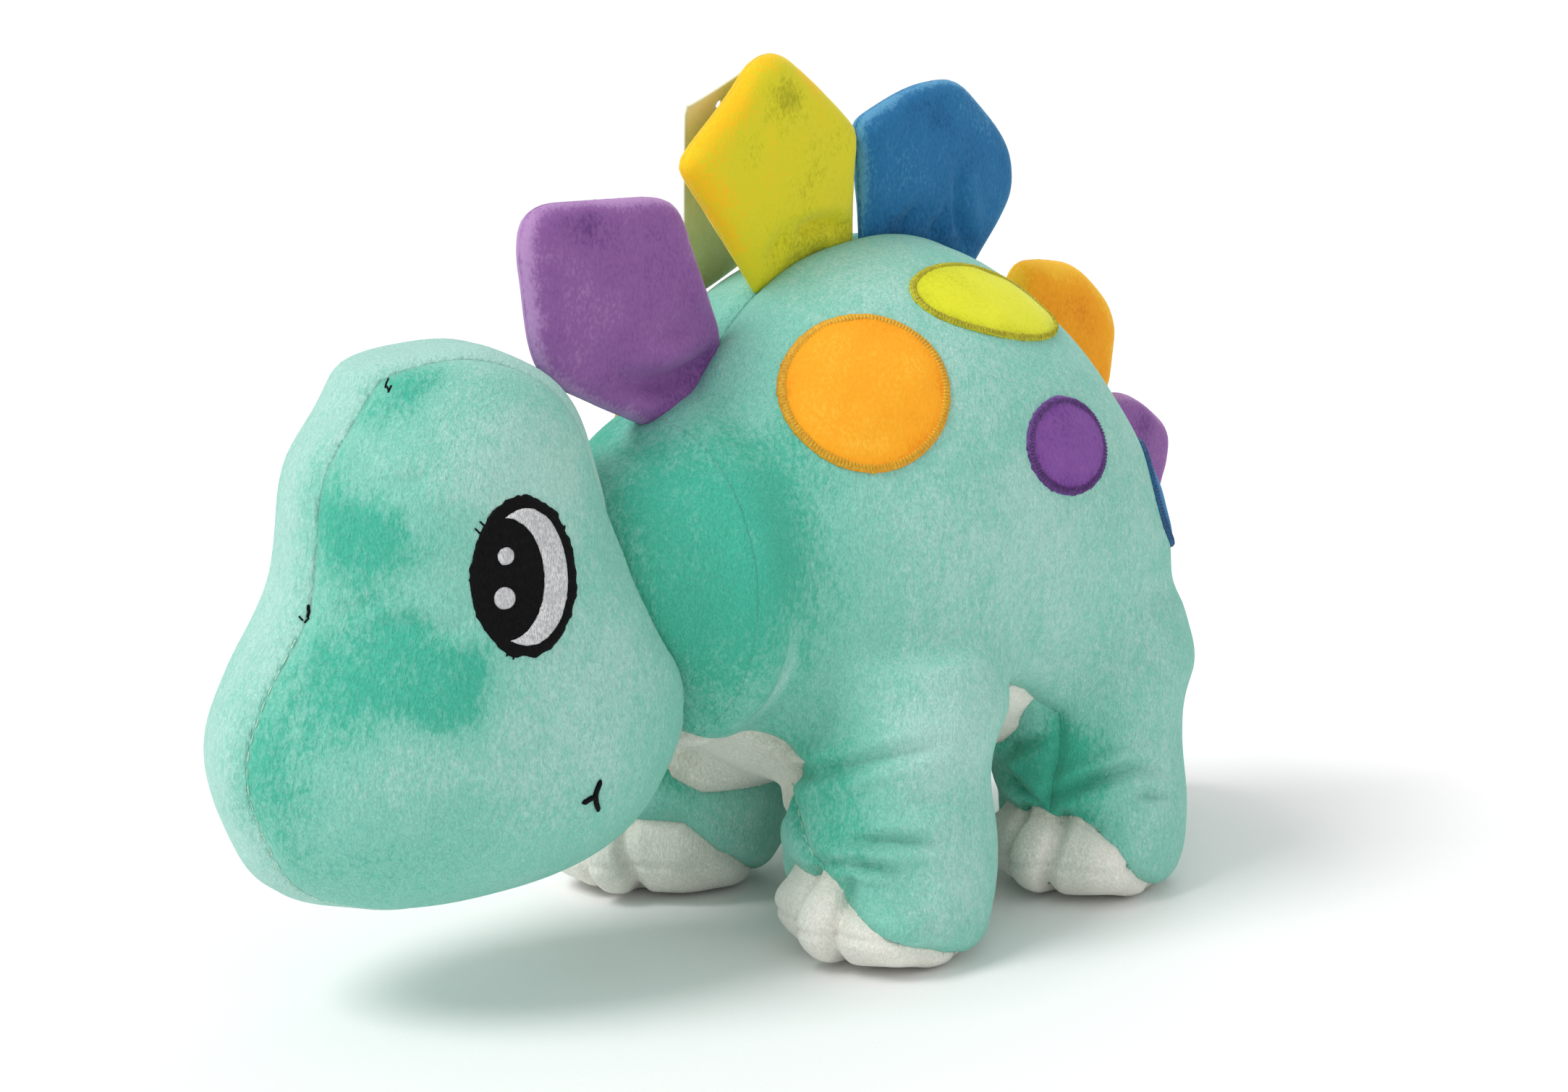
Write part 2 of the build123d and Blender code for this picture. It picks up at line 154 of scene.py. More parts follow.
class Lattice:
    """A box of sample points that distance fields are held on."""

    def __init__(self, low, high):
        self.first = np.floor(np.array(low) / VOXEL).astype(int)
        self.count = np.ceil(np.array(high) / VOXEL).astype(int) - self.first + 1

    def axes(self):
        """The x, y and z of the samples, each shaped to spread over the box."""
        lines = [(self.first[i] + np.arange(self.count[i])) * VOXEL for i in range(3)]
        return np.meshgrid(*lines, indexing="ij", sparse=True)

    def nodes(self, *names):
        """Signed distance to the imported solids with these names, taken together."""
        points, triangles, start = [], [], 0
        for name in names:
            mesh = frame["nodes"][name].data
            mesh.calc_loop_triangles()
            co = np.empty(len(mesh.vertices) * 3, np.float32)
            mesh.vertices.foreach_get("co", co)
            tri = np.empty(len(mesh.loop_triangles) * 3, np.int32)
            mesh.loop_triangles.foreach_get("vertices", tri)
            points.append(co.reshape(-1, 3))
            triangles.append(tri.reshape(-1, 3) + start)
            start += len(mesh.vertices)
        grid = openvdb.FloatGrid.createLevelSetFromPolygons(
            np.concatenate(points),
            triangles=np.concatenate(triangles).astype(np.uint32),
            transform=openvdb.createLinearTransform(voxelSize=VOXEL),
            halfWidth=BAND,
        )
        field = np.zeros(self.count, np.float32)
        grid.copyToArray(field, ijk=tuple(int(i) for i in self.first))
        return field

    def surface(self, field, level=0.0):
        """The points and triangles of the field's surface at a level."""
        grid = openvdb.FloatGrid(BAND * VOXEL)
        grid.copyFromArray(field.astype(np.float32), ijk=tuple(int(i) for i in self.first))
        grid.transform = openvdb.createLinearTransform(voxelSize=VOXEL)
        points, quads = grid.convertToQuads(isovalue=level)
        quads = quads.astype(int)
        triangles = np.concatenate((quads[:, [0, 1, 2]], quads[:, [0, 2, 3]]))
        return facing_out(points.astype(float), triangles)


def blurred(field, passes):
    """The field with its sharp creases rounded off."""
    for _ in range(passes):
        for axis in range(3):
            padded = np.concatenate(
                (field.take([0], axis), field, field.take([-1], axis)), axis
            )
            ends = field.shape[axis]
            before = padded.take(range(0, ends), axis)
            after = padded.take(range(2, ends + 2), axis)
            field = (before + 2 * field + after) / 4
    return field


def ellipsoid(axes, centre, radii, turn=0.0):
    """Signed distance, nearly, to an ellipsoid turned about Z by an angle in degrees."""
    x, y, z = (a - c for a, c in zip(axes, centre))
    c, s = math.cos(math.radians(turn)), math.sin(math.radians(turn))
    along, across = x * c + y * s, -x * s + y * c
    inner = np.sqrt((along / radii[0]) ** 2 + (across / radii[1]) ** 2 + (z / radii[2]) ** 2)
    slope = np.sqrt(
        (along / radii[0] ** 2) ** 2 + (across / radii[1] ** 2) ** 2 + (z / radii[2] ** 2) ** 2
    )
    return inner * (inner - 1) / np.maximum(slope, 1e-6)


# ------------------------------------------------------------------ surfaces as points and triangles
def corners_of(points, triangles):
    return (points[triangles[:, i]] for i in range(3))


def facing_out(points, triangles):
    """The same closed surface with its triangles turned to face outwards."""
    a, b, c = corners_of(points, triangles)
    if np.einsum("ij,ij->", a, np.cross(b, c)) < 0:
        triangles = triangles[:, ::-1]
    return points, triangles


def normals_of(points, triangles):
    """The unit normal at each point."""
    a, b, c = corners_of(points, triangles)
    face = np.cross(b - a, c - a)
    total = np.zeros_like(points)
    for i in range(3):
        np.add.at(total, triangles[:, i], face)
    return total / np.maximum(np.linalg.norm(total, axis=1, keepdims=True), 1e-12)


def split_along(points, triangles, value):
    """Cuts the triangles where value, one number for each point, passes through zero."""
    points, value = points.copy(), value.copy()
    for last in (False, True):
        pairs = np.sort(triangles[:, [0, 1, 1, 2, 2, 0]].reshape(-1, 2), axis=1)
        edges, which = np.unique(pairs, axis=0, return_inverse=True)
        which = which.reshape(-1, 3)
        a, b = edges.T
        crossed = value[a] * value[b] < 0
        share = np.where(crossed, value[a] / np.where(crossed, value[a] - value[b], 1), 0)
        if last:
            break
        # A point that lies near the line moves on to it, which keeps slivers out.
        for near, far, part in ((a, b, share), (b, a, 1 - share)):
            close = crossed & (part < 0.25)
            points[near[close]] += part[close, None] * (points[far[close]] - points[near[close]])
            value[near[close]] = 0
    added = np.full(len(edges), -1)
    added[crossed] = len(points) + np.arange(crossed.sum())
    a, b, share = a[crossed], b[crossed], share[crossed, None]
    points = np.concatenate((points, points[a] + share * (points[b] - points[a])))
    new = added[which]
    cuts = (new >= 0).sum(axis=1)
    pieces = [triangles[cuts == 0]]
    for first in range(3):
        order = [(first + i) % 3 for i in range(3)]
        v, m = triangles[:, order], new[:, order]
        once = (cuts == 1) & (m[:, 0] >= 0)
        pieces.append(np.column_stack((v[once, 0], m[once, 0], v[once, 2])))
        pieces.append(np.column_stack((m[once, 0], v[once, 1], v[once, 2])))
        twice = (cuts == 2) & (m[:, 1] < 0)
        pieces.append(np.column_stack((v[twice, 0], m[twice, 0], m[twice, 2])))
        pieces.append(np.column_stack((m[twice, 0], v[twice, 1], v[twice, 2])))
        pieces.append(np.column_stack((m[twice, 0], v[twice, 2], m[twice, 2])))
    return points, np.concatenate(pieces)


def middle_of(points, triangles):
    return points[triangles].mean(axis=1)


def only(points, triangles):
    """Drops the points that no triangle uses; returns the kept indices too."""
    used, compact = np.unique(triangles, return_inverse=True)
    return points[used], compact.reshape(-1, 3), used


# ------------------------------------------------------------------ materials
def linear(hex_colour):
    """An sRGB hex colour as the linear RGBA that shaders use."""
    parts = [int(hex_colour[i : i + 2], 16) / 255 for i in (1, 3, 5)]
    return [c / 12.92 if c <= 0.04045 else ((c + 0.055) / 1.055) ** 2.4 for c in parts] + [1.0]


class Shader:
    """A material's node tree with short calls for the nodes used here."""

    def __init__(self, name):
        self.material = bpy.data.materials.new(name)
        self.material.use_nodes = True
        self.tree = self.material.node_tree
        self.surface = self.tree.nodes["Principled BSDF"]
        self.place = self.node("ShaderNodeTexCoord").outputs["Object"]

    def node(self, kind, **settings):
        made = self.tree.nodes.new(kind)
        for key, value in settings.items():
            setattr(made, key, value)
        return made

    def link(self, source, target):
        if hasattr(source, "bl_idname") or isinstance(source, bpy.types.NodeSocket):
            self.tree.links.new(source, target)
        else:
            target.default_value = source

    def stretched(self, scale, turn=(0, 0, 0)):
        mapping = self.node("ShaderNodeMapping")
        self.tree.links.new(self.place, mapping.inputs["Vector"])
        mapping.inputs["Rotation"].default_value = [math.radians(a) for a in turn]
        mapping.inputs["Scale"].default_value = scale
        return mapping.outputs["Vector"]

    def noise(self, scale, detail=2.0, rough=0.5, vector=None, warp=0.0):
        made = self.node("ShaderNodeTexNoise")
        self.tree.links.new(vector or self.place, made.inputs["Vector"])
        made.inputs["Scale"].default_value = scale
        made.inputs["Detail"].default_value = detail
        made.inputs["Roughness"].default_value = rough
        made.inputs["Distortion"].default_value = warp
        return made.outputs["Fac"]

    def math(self, operation, a, b=0.0, clamp=False):
        made = self.node("ShaderNodeMath", operation=operation, use_clamp=clamp)
        self.link(a, made.inputs[0])
        self.link(b, made.inputs[1])
        return made.outputs[0]

    def spread(self, value, low, high, to_low=0.0, to_high=1.0):
        made = self.node("ShaderNodeMapRange", interpolation_type="SMOOTHSTEP")
        self.link(value, made.inputs["Value"])
        for key, number in zip(("From Min", "From Max", "To Min", "To Max"), (low, high, to_low, to_high)):
            made.inputs[key].default_value = number
        return made.outputs["Result"]

    def mix(self, factor, a, b, blend="MIX"):
        made = self.node("ShaderNodeMix", data_type="RGBA", blend_type=blend)
        self.link(factor, made.inputs[0])
        self.link(a, made.inputs[6])
        self.link(b, made.inputs[7])
        return made.outputs[2]

    def attribute(self, name):
        return self.node("ShaderNodeAttribute", attribute_name=name).outputs["Fac"]

    def bump(self, height, distance, strength=1.0, after=None):
        made = self.node("ShaderNodeBump")
        made.inputs["Strength"].default_value = strength
        made.inputs["Distance"].default_value = distance
        self.tree.links.new(height, made.inputs["Height"])
        if after is not None:
            self.tree.links.new(after, made.inputs["Normal"])
        return made.outputs["Normal"]

    def finish(self, colour, roughness, normal=None, sheen=0.0, sheen_tint="#FFFFFF", specular=0.3):
        self.link(colour, self.surface.inputs["Base Color"])
        self.link(roughness, self.surface.inputs["Roughness"])
        if normal is not None:
            self.tree.links.new(normal, self.surface.inputs["Normal"])
        self.surface.inputs["Sheen Weight"].default_value = sheen
        self.surface.inputs["Sheen Roughness"].default_value = 0.4
        self.surface.inputs["Sheen Tint"].default_value = linear(sheen_tint)
        self.surface.inputs["Specular IOR Level"].default_value = specular
        return self.material


def plush(name, pale, middle, deep, sheen_tint, turn=(25, 0, 35), contrast=1.0, pile=1.0):
    """Short brushed pile: pale where it lies away, deep where it stands up, with fine combed streaks; the cloth's zones
    and seams add painted shade and highlights, and the colour follows the bump of the tufts, deeper between them as
    painted shade.
    """
    s = Shader(name)
    nap = s.attribute("nap")
    combed = s.stretched((1.0, 1.0, 0.5), turn)
    tufts = s.noise(640, 3.0, 0.65, combed, 0.5)
    fibres = s.noise(1700, 2.0, 0.6, combed, 0.3)
    clumps = s.noise(170, 4.0, 0.65, combed, 0.8)
    brushed = s.noise(30, 3.0, 0.55, None, 0.6)
    lean_and_shade = s.math("ADD", nap, s.spread(brushed, 0.25, 0.75, -0.09 * contrast, 0.09 * contrast))
    lean_and_shade = s.math("ADD", lean_and_shade, s.spread(clumps, 0.3, 0.7, -0.07 * contrast, 0.07 * contrast))
    # Low places of the tufts' bump get the deep colour: partly the pile's own deeper base, partly painted shade.
    lean_and_shade = s.math("ADD", lean_and_shade, s.spread(tufts, 0.3, 0.7, 0.13, -0.13), clamp=True)
    colour = s.mix(s.spread(lean_and_shade, 0.0, 0.5), linear(pale), linear(middle))
    colour = s.mix(s.spread(lean_and_shade, 0.5, 1.0), colour, linear(deep))
    # Raised fibres in the bump are painted lighter and low ones darker: painted highlight and shade.
    tip_and_shade = s.spread(fibres, 0.35, 0.7, 0.88, 1.09)
    colour = s.mix(1.0, colour, tip_and_shade, "MULTIPLY")
    normal = s.bump(tufts, 1.1 * MM * pile, 0.75)
    normal = s.bump(fibres, 0.45 * MM * pile, 0.6, normal)
    return s.finish(colour, s.spread(tufts, 0.3, 0.7, 0.95, 0.78), normal, 0.35, sheen_tint, 0.2)


def velboa(name, pale, middle, deep, sheen_tint):
    """Very short even pile, as on the plates and spots."""
    s = Shader(name)
    nap = s.attribute("nap")
    grain = s.noise(900, 3.0, 0.65, s.stretched((1.0, 1.0, 0.6), (20, 10, 0)))
    clumps = s.noise(40, 4.0, 0.6, None, 0.5)
    lean_and_shade = s.math("ADD", nap, s.spread(clumps, 0.25, 0.75, -0.15, 0.15))
    # Low places of the grain's bump get the deep colour: partly the pile's own deeper base, partly painted shade.
    lean_and_shade = s.math("ADD", lean_and_shade, s.spread(grain, 0.3, 0.7, 0.14, -0.14), clamp=True)
    colour = s.mix(s.spread(lean_and_shade, 0.0, 0.5), linear(pale), linear(middle))
    colour = s.mix(s.spread(lean_and_shade, 0.5, 1.0), colour, linear(deep))
    normal = s.bump(grain, 0.45 * MM, 0.6)
    return s.finish(colour, s.spread(grain, 0.3, 0.7, 0.92, 0.75), normal, 0.45, sheen_tint, 0.2)


def thread(name, colour, shade, shine=0.45, specular=0.5):
    """Satin stitching: close rows of shiny thread, with ply twist and slight fading."""
    s = Shader(name)
    strands = s.noise(2600, 2.0, 0.5, s.stretched((1.0, 1.0, 0.25), (0, 65, 0)))
    worn = s.noise(160, 3.0, 0.6)
    mixed = s.mix(s.spread(strands, 0.35, 0.65), linear(shade), linear(colour))
    mixed = s.mix(s.spread(worn, 0.35, 0.75, 0.0, 0.5), mixed, linear(shade))
    normal = s.bump(strands, 0.25 * MM, 0.6)
    return s.finish(mixed, s.spread(strands, 0.3, 0.7, shine + 0.2, shine), normal, 0.0, "#FFFFFF", specular)


def fibre_fill(name):
    """Loose white polyester filling."""
    s = Shader(name)
    wisps = s.noise(260, 5.0, 0.7, None, 1.5)
    colour = s.mix(s.spread(wisps, 0.3, 0.7), linear("#C9C8C2"), linear("#F6F5F0"))
    return s.finish(colour, 0.95, s.bump(wisps, 2.0 * MM, 0.8), 0.3, "#FFFFFF", 0.1)


def card_stock(name):
    """Coated card, faintly mottled and unevenly soiled."""
    s = Shader(name)
    fibres = s.noise(700, 4.0, 0.6)
    soil = s.noise(40, 4.0, 0.6)
    colour = s.mix(s.spread(soil, 0.3, 0.75), linear("#DCD9A6"), linear("#C3C387"))
    colour = s.mix(s.spread(fibres, 0.4, 0.7, 0.0, 0.25), colour, linear("#EDEBCB"))
    return s.finish(colour, s.spread(soil, 0.3, 0.7, 0.38, 0.55), s.bump(fibres, 0.06 * MM, 0.4))


def ribbon(name):
    """Woven ribbon with fine cross ribs."""
    s = Shader(name)
    ribs = s.node("ShaderNodeTexWave", bands_direction="Z")
    s.tree.links.new(s.place, ribs.inputs["Vector"])
    ribs.inputs["Scale"].default_value = 420
    ribs.inputs["Distortion"].default_value = 1.0
    colour = s.mix(ribs.outputs["Fac"], linear("#050506"), linear("#1B1B1E"))
    return s.finish(colour, 0.55, s.bump(ribs.outputs["Fac"], 0.2 * MM, 0.8), 0.2)


MINT = plush("mint_plush", "#AEDCD0", "#86CEBC", "#48B79C", "#CFEDE5")
CREAM = plush("cream_plush", "#F8F6EF", "#EDEBE1", "#D3D1C4", "#FFFFFF", (20, 10, 0), 0.5, 0.7)
PURPLE = velboa("purple_velboa", "#B48CC0", "#8F5FA0", "#6A4082", "#D0AEDC")
YELLOW = velboa("yellow_velboa", "#FFC41C", "#DED52A", "#A8A51C", "#FFF3A0")
BLUE = velboa("blue_velboa", "#5B9CC4", "#276FA2", "#13507F", "#86BBDE")
ORANGE = velboa("orange_velboa", "#FFC32E", "#FBA419", "#E5850C", "#FFD98A")
ORANGE_PATCH = velboa("orange_patch", "#FFC542", "#FBAA24", "#F09418", "#FFDD98")
YELLOW_PATCH = velboa("yellow_patch", "#F2F04A", "#E2E32A", "#C4C81C", "#FBFBA8")
PURPLE_PATCH = velboa("purple_patch", "#A87BBE", "#8552A0", "#69398A", "#CDAEDD")
BLUE_PATCH = velboa("blue_patch", "#4A92C0", "#2471A6", "#124F80", "#8FC4E8")
GOLD_THREAD = thread("gold_thread", "#F2BC26", "#D09410")
RED_THREAD = thread("orange_red_thread", "#F27A12", "#CC5208")
LIME_THREAD = thread("yellow_thread", "#D3CB20", "#9D9612")
PLUM_THREAD = thread("plum_thread", "#6E3C8E", "#3F1C5C")
BLUE_THREAD = thread("blue_thread", "#1F679C", "#0D3D66")
WHITE_THREAD = thread("white_thread", "#E6E6E6", "#ADADB2", 0.35)
BLACK_THREAD = thread("black_thread", "#050506", "#010102", 0.6, 0.15)
PALE_THREAD = thread("pale_thread", "#CFEADB", "#8FC9B2")
FILL = fibre_fill("filling")
CARD = card_stock("card")
RIBBON = ribbon("black_ribbon")


# ------------------------------------------------------------------ pieces
def make_piece(name, points, triangles, material, body, nodes=(), nap=None, sheet=0.0):
    """A smooth shaded mesh object that rides on body, given thickness inwards if sheet is not 0."""
    points, triangles, used = only(points, triangles)
    mesh = bpy.data.meshes.new(name)
    mesh.from_pydata(points.tolist(), [], triangles.tolist())
    mesh.shade_smooth()
    if nap is not None:
        layer = mesh.attributes.new("nap", "FLOAT", "POINT")
        layer.data.foreach_set("value", np.clip(nap[used], 0, 1).astype(np.float32))
    mesh.materials.append(material)
    piece = bpy.data.objects.new(name, mesh)
    bpy.context.collection.objects.link(piece)
    if sheet:
        shell = piece.modifiers.new("thickness", "SOLIDIFY")
        shell.thickness = sheet
        shell.offset = -1
    if nodes:
        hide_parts(*nodes)
    if body is not None:
        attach(piece, body)
    return piece


LINE_STEPS = 40  # points along a fold's line


def both_sides(points):
    """The points with those of the right side mirrored on to the left."""
    return np.column_stack((np.abs(points[:, 0]), points[:, 1:]))


def pressed(points, triangles, depth):
    """The points moved inwards along their normals by depth, one number for each point."""
    return points - normals_of(points, triangles) * depth[:, None]


def smooth_line(stops, steps):
    """Points along a smooth line through the stops, with steps of them between two stops."""
    stops = np.array(stops, float)
    ends = np.concatenate(([2 * stops[0] - stops[1]], stops, [2 * stops[-1] - stops[-2]]))
    line = []
    for i in range(1, len(ends) - 2):
        p0, p1, p2, p3 = ends[i - 1 : i + 3]
        for t in np.linspace(0, 1, steps, endpoint=False):
            line.append(0.5 * (
                2 * p1 + (p2 - p0) * t + (2 * p0 - 5 * p1 + 4 * p2 - p3) * t**2
                + (3 * p1 - p0 - 3 * p2 + p3) * t**3
            ))
    line.append(stops[-1])
    return np.array(line)


def near_line(points, stops):
    """Distance from each point to a smooth line through the stops, and how far along it that is."""
    line = smooth_line(stops, max(2, LINE_STEPS // (len(stops) - 1)))
    best = np.full(len(points), 1e9)
    along = np.zeros(len(points))
    for i, (start, end) in enumerate(zip(line[:-1], line[1:])):
        run = end - start
        t = np.clip((points - start) @ run / max(run @ run, 1e-15), 0, 1)
        away = np.linalg.norm(points - start - t[:, None] * run, axis=1)
        closer = away < best
        best[closer] = away[closer]
        along[closer] = (i + t[closer]) / (len(line) - 1)
    return best, along


def crease(points, stops, depth, width, tapered=True):
    """Depth of a fold in the cloth along a line, with the cloth rolled up a little on both sides."""
    away, along = near_line(points, stops)
    fade = np.sin(np.pi * np.clip(along, 0.02, 0.98)) ** 0.6 if tapered else 1.0
    return fade * depth * (bell(away, 0.7 * width) - 0.4 * bell(away - 1.7 * width, width * 0.9))


def hollows(points, presses, flat):
    """Depth of broad round hollows, each level over the flat share of its size."""
    depth = np.zeros(len(points))
    for centre, size, deep in presses:
        away = np.linalg.norm(points / MM - np.array(centre), axis=1)
        depth += deep * MM * (1 - ramp(away, flat * size, size))
    return depth


# ------------------------------------------------------------------ places read from the frame
LEGS = ("front_left", "front_right", "hind_left", "hind_right")
TOES_TURNED = {"front_left": -3, "front_right": -22, "hind_left": 0, "hind_right": 0}  # outwards, in degrees
TOE_GROOVES = (-13, 17)  # angles of the grooves between the toes
GROOVE_WIDTH = 2.8 * MM
GROOVE_DEPTH = 4.4 * MM
# Height of a toe cap's edge at angles round the foot, outwards from its toes' direction
FRONT_CAP = ((-110, -86, -62, -44, 0, 16, 31, 45, 62, 86, 115, 135), (2, 9, 20, 32, 36, 33, 24, 16, 11, 6, 1, -4))
HIND_CAP = ((-110, -86, -62, -44, 0, 32, 45, 58, 68, 76, 95, 120), (2, 9, 22, 33, 36, 35, 31, 25, 14, 9, 3, -4))


def joint(name):
    return next(j for j in frame["joints"] if j["name"] == name)


class Leg:
    """Where one leg stands, and the seams that part its cloth."""

    def __init__(self, name):
        low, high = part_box(name + "_sole")
        self.name = name
        self.side = 1 if "left" in name else -1
        self.front = name.startswith("front")
        self.turn = TOES_TURNED[name]
        self.x, self.y = (low.x + high.x) / 2, (low.y + high.y) / 2

    def at(self, out, back, height):
        """A point from its distances outwards and back from the sole's middle, and its height, in mm."""
        return (self.x + self.side * out * MM, self.y + back * MM, height * MM)

    def out(self, points):
        """Distance of points outwards from the sole's middle."""
        return (points[:, 0] - self.x) * self.side

    def root(self, points):
        """Below 0 inside the leg's own outline, which widens towards the foot."""
        reach = 47 if self.front else 40
        radius = (reach + 14 * (1 - ramp(points[:, 2], 46 * MM, 70 * MM))) * MM
        across = self.out(points) + 4 * MM
        along = points[:, 1] - self.y - 4 * MM
        return np.hypot(across, along) - radius

    def seam(self, points):
        """Above 0 on the outer cloth, and below 0 on the inner leg panel."""
        if self.front:
            place = np.interp(points[:, 2], (0.034, 0.051, 0.063, 0.074), (0.000, -0.020, -0.032, -0.042))
        else:
            place = np.interp(points[:, 2], (0.030, 0.072), (0.006, 0.007))
        return self.out(points) - place

    def top(self, points):
        """Above 0 over the leg's cloth, where the belly's cloth begins."""
        round_leg = np.degrees(np.arctan2(self.out(points), self.y - points[:, 1]))
        if self.front:
            rim = np.interp(round_leg, (-75, -60, -48, -28, -12), (44, 50, 66, 74, 95))
        else:
            rim = np.interp(round_leg, (-75, -44, -24, -11, -2, 12), (46, 52, 58, 65, 72, 95))
        return points[:, 2] - rim * MM

    def turned(self, points):
        """Angle of points round the foot in degrees, outwards from its toes' direction."""
        return np.degrees(np.arctan2(self.out(points), self.y - points[:, 1])) - self.turn

    def toe_edge(self, points):
        """Below 0 on the toe cap, which is scalloped over the toes and tapers down each side to the sole."""
        table = FRONT_CAP if self.front else HIND_CAP
        angle = self.turned(points)
        scallop = 2.2 * np.interp(angle, (-52, *TOE_GROOVES, 60), (0, 1, -1, 0)) ** 2
        return points[:, 2] - (np.interp(angle, *table) - scallop) * MM

    def groove(self, points):
        """How near points are to the two grooves between toes, from 0 to 1."""
        radius = np.hypot(self.out(points), self.y - points[:, 1])
        near = np.zeros(len(points))
        for angle in TOE_GROOVES:
            swing = angle - 4 * np.cos(points[:, 2] / (34 * MM) * math.pi)
            away = radius * np.radians(self.turned(points) - swing)
            near = np.maximum(near, bell(away, GROOVE_WIDTH))
        return near * ramp(radius, 14 * MM, 26 * MM) * (1 - ramp(points[:, 2], 33 * MM, 39 * MM))

    def cloth(self, points):
        """Below 0 on the leg's own cloth."""
        return np.maximum(self.root(points), self.top(points))


legs = [Leg(name) for name in LEGS]
TAIL_ROOT = np.array(joint("tail_wag")["pos_m"])
TAIL_AXIS = np.array((0, math.cos(math.radians(50)), -math.sin(math.radians(50))))
TAIL_SEAM = 25 * MM  # the tail's seam, along its axis from its root
NECK_RING = -68 * MM  # the neck's cloth lies ahead of here
HEAD_ORIGIN = np.array((8, -78, 128)) * MM
HEAD_ACROSS = np.array(joint("head_nod")["axis"])  # towards the head's left
HEAD_BACK = np.array((-HEAD_ACROSS[1], HEAD_ACROSS[0], 0))
HEAD_UP = np.array((0, 0, 1.0))


def along_tail(points):
    return (points - TAIL_ROOT) @ TAIL_AXIS


def in_head(points):
    """Points in the head's own axes: towards its left, its back and its crown."""
    return (points - HEAD_ORIGIN) @ np.column_stack((HEAD_ACROSS, HEAD_BACK, HEAD_UP))


def head_point(across, back, up):
    """A frame point from a place in the head's own axes, in mm."""
    return HEAD_ORIGIN + (HEAD_ACROSS * across + HEAD_BACK * back + HEAD_UP * up) * MM


# ------------------------------------------------------------------ torso, legs and tail: one smooth form
TOE_LOBES = (  # turn outwards from the foot's front, distance out from its middle, half length, half width
    (-44, 13, 27, 20),
    (2, 20, 22.5, 15),
    (47, 12.5, 28, 22),
)
TOE_HEIGHT = 17  # half height of a lobe, in mm
TOE_PINCH = 9 * MM  # fillet between two lobes
TOE_SHRINK = 5 * MM  # the foot is drawn in this far behind its lobes
COLLAR = ((2, -60, 134), (51, 21, 56))  # fullness of the neck behind the cheeks: centre and radii in mm
CALF = ((-15, 15, 34), (34, 34, 33))  # fullness at the inner rear of a front leg: place and radii, in mm


def toe_lobes(axes, leg):
    """The three stuffed toes at the front of a foot."""
    field = None
    for turn, reach, long, half in TOE_LOBES:
        angle = math.radians(turn + leg.turn)
        centre = leg.at(reach * math.sin(angle), -reach * math.cos(angle), TOE_HEIGHT)
        radii = (half * MM, long * MM, TOE_HEIGHT * MM)
        lobe = ellipsoid(axes, centre, radii, leg.side * (turn + leg.turn))
        field = lobe if field is None else smooth_min(field, lobe, TOE_PINCH)
    return field


def neck_field(lattice):
    """The torso run into the neck, with the neck's fullness behind the cheeks."""
    torso = smooth_min(lattice.nodes("torso_stuffing"), lattice.nodes("neck_stuffing"), 26 * MM)
    centre, radii = ([value * MM for value in row] for row in COLLAR)
    collar = ellipsoid(lattice.axes(), centre, radii)
    return smooth_min(torso, collar, 14 * MM)


def body_field(lattice):
    """The cloth's outside: torso, neck, legs and tail run together."""
    axes = lattice.axes()
    x, y, z = axes
    whole = neck_field(lattice)
    feet = None
    for leg in legs:
        limb = lattice.nodes(leg.name + "_leg_stuffing")
        toe_zone = ramp(leg.y - 6 * MM - y, 0, 14 * MM) * (1 - ramp(z, 30 * MM, 44 * MM))
        whole = smooth_min(whole, limb + TOE_SHRINK * toe_zone, 15 * MM)
        if leg.front:
            calf = ellipsoid(axes, leg.at(*CALF[0]), [radius * MM for radius in CALF[1]])
            whole = smooth_min(whole, calf, 14 * MM)
        lobes = toe_lobes(axes, leg)
        feet = lobes if feet is None else np.minimum(feet, lobes)
    whole = smooth_min(whole, lattice.nodes("tail_stuffing"), 8 * MM) - CLOTH
    whole = smooth_min(blurred(whole, 3), feet, 3 * MM)
    return smooth_max(whole, np.broadcast_to(-z, whole.shape), 5 * MM)


def belly_edge(points):
    """Above 0 on the coloured side cloth, and below 0 on the cream belly."""
    rim = np.interp(
        points[:, 1] / MM,
        (-66, -52, -40, -20, 20, 40, 60, 78, 120, 150, 165),
        (84, 84, 84, 89, 94, 91, 83, 71, 62, 50, 26),
    )
    dip = 15 * ramp(np.abs(points[:, 0]), 8 * MM, 50 * MM) * (1 - ramp(points[:, 1], -34 * MM, -6 * MM))
    return points[:, 2] - (rim - dip) * MM


SOLE_EDGE = 2.5 * MM
NECK_CLOTH, LEFT_CLOTH, RIGHT_CLOTH, BELLY_CLOTH, TAIL_LEFT, TAIL_RIGHT = range(6)
INNER, TOES, SOLE = 10, 20, 30  # plus the leg's place in LEGS


def panel_cuts():
    """Each seam as a function of points that is 0 on the seam."""
    yield lambda p: p[:, 0]
    yield lambda p: along_tail(p) - TAIL_SEAM
    yield lambda p: np.where(p[:, 2] > 60 * MM, p[:, 1] - NECK_RING, 1.0)
    yield belly_edge
    for leg in legs:
        yield leg.cloth
        yield lambda p, leg=leg: np.where(leg.cloth(p) < 12 * MM, leg.seam(p), 1.0)
        yield lambda p, leg=leg: np.where(leg.cloth(p) < 12 * MM, leg.toe_edge(p), 1.0)
    yield lambda p: p[:, 2] - SOLE_EDGE


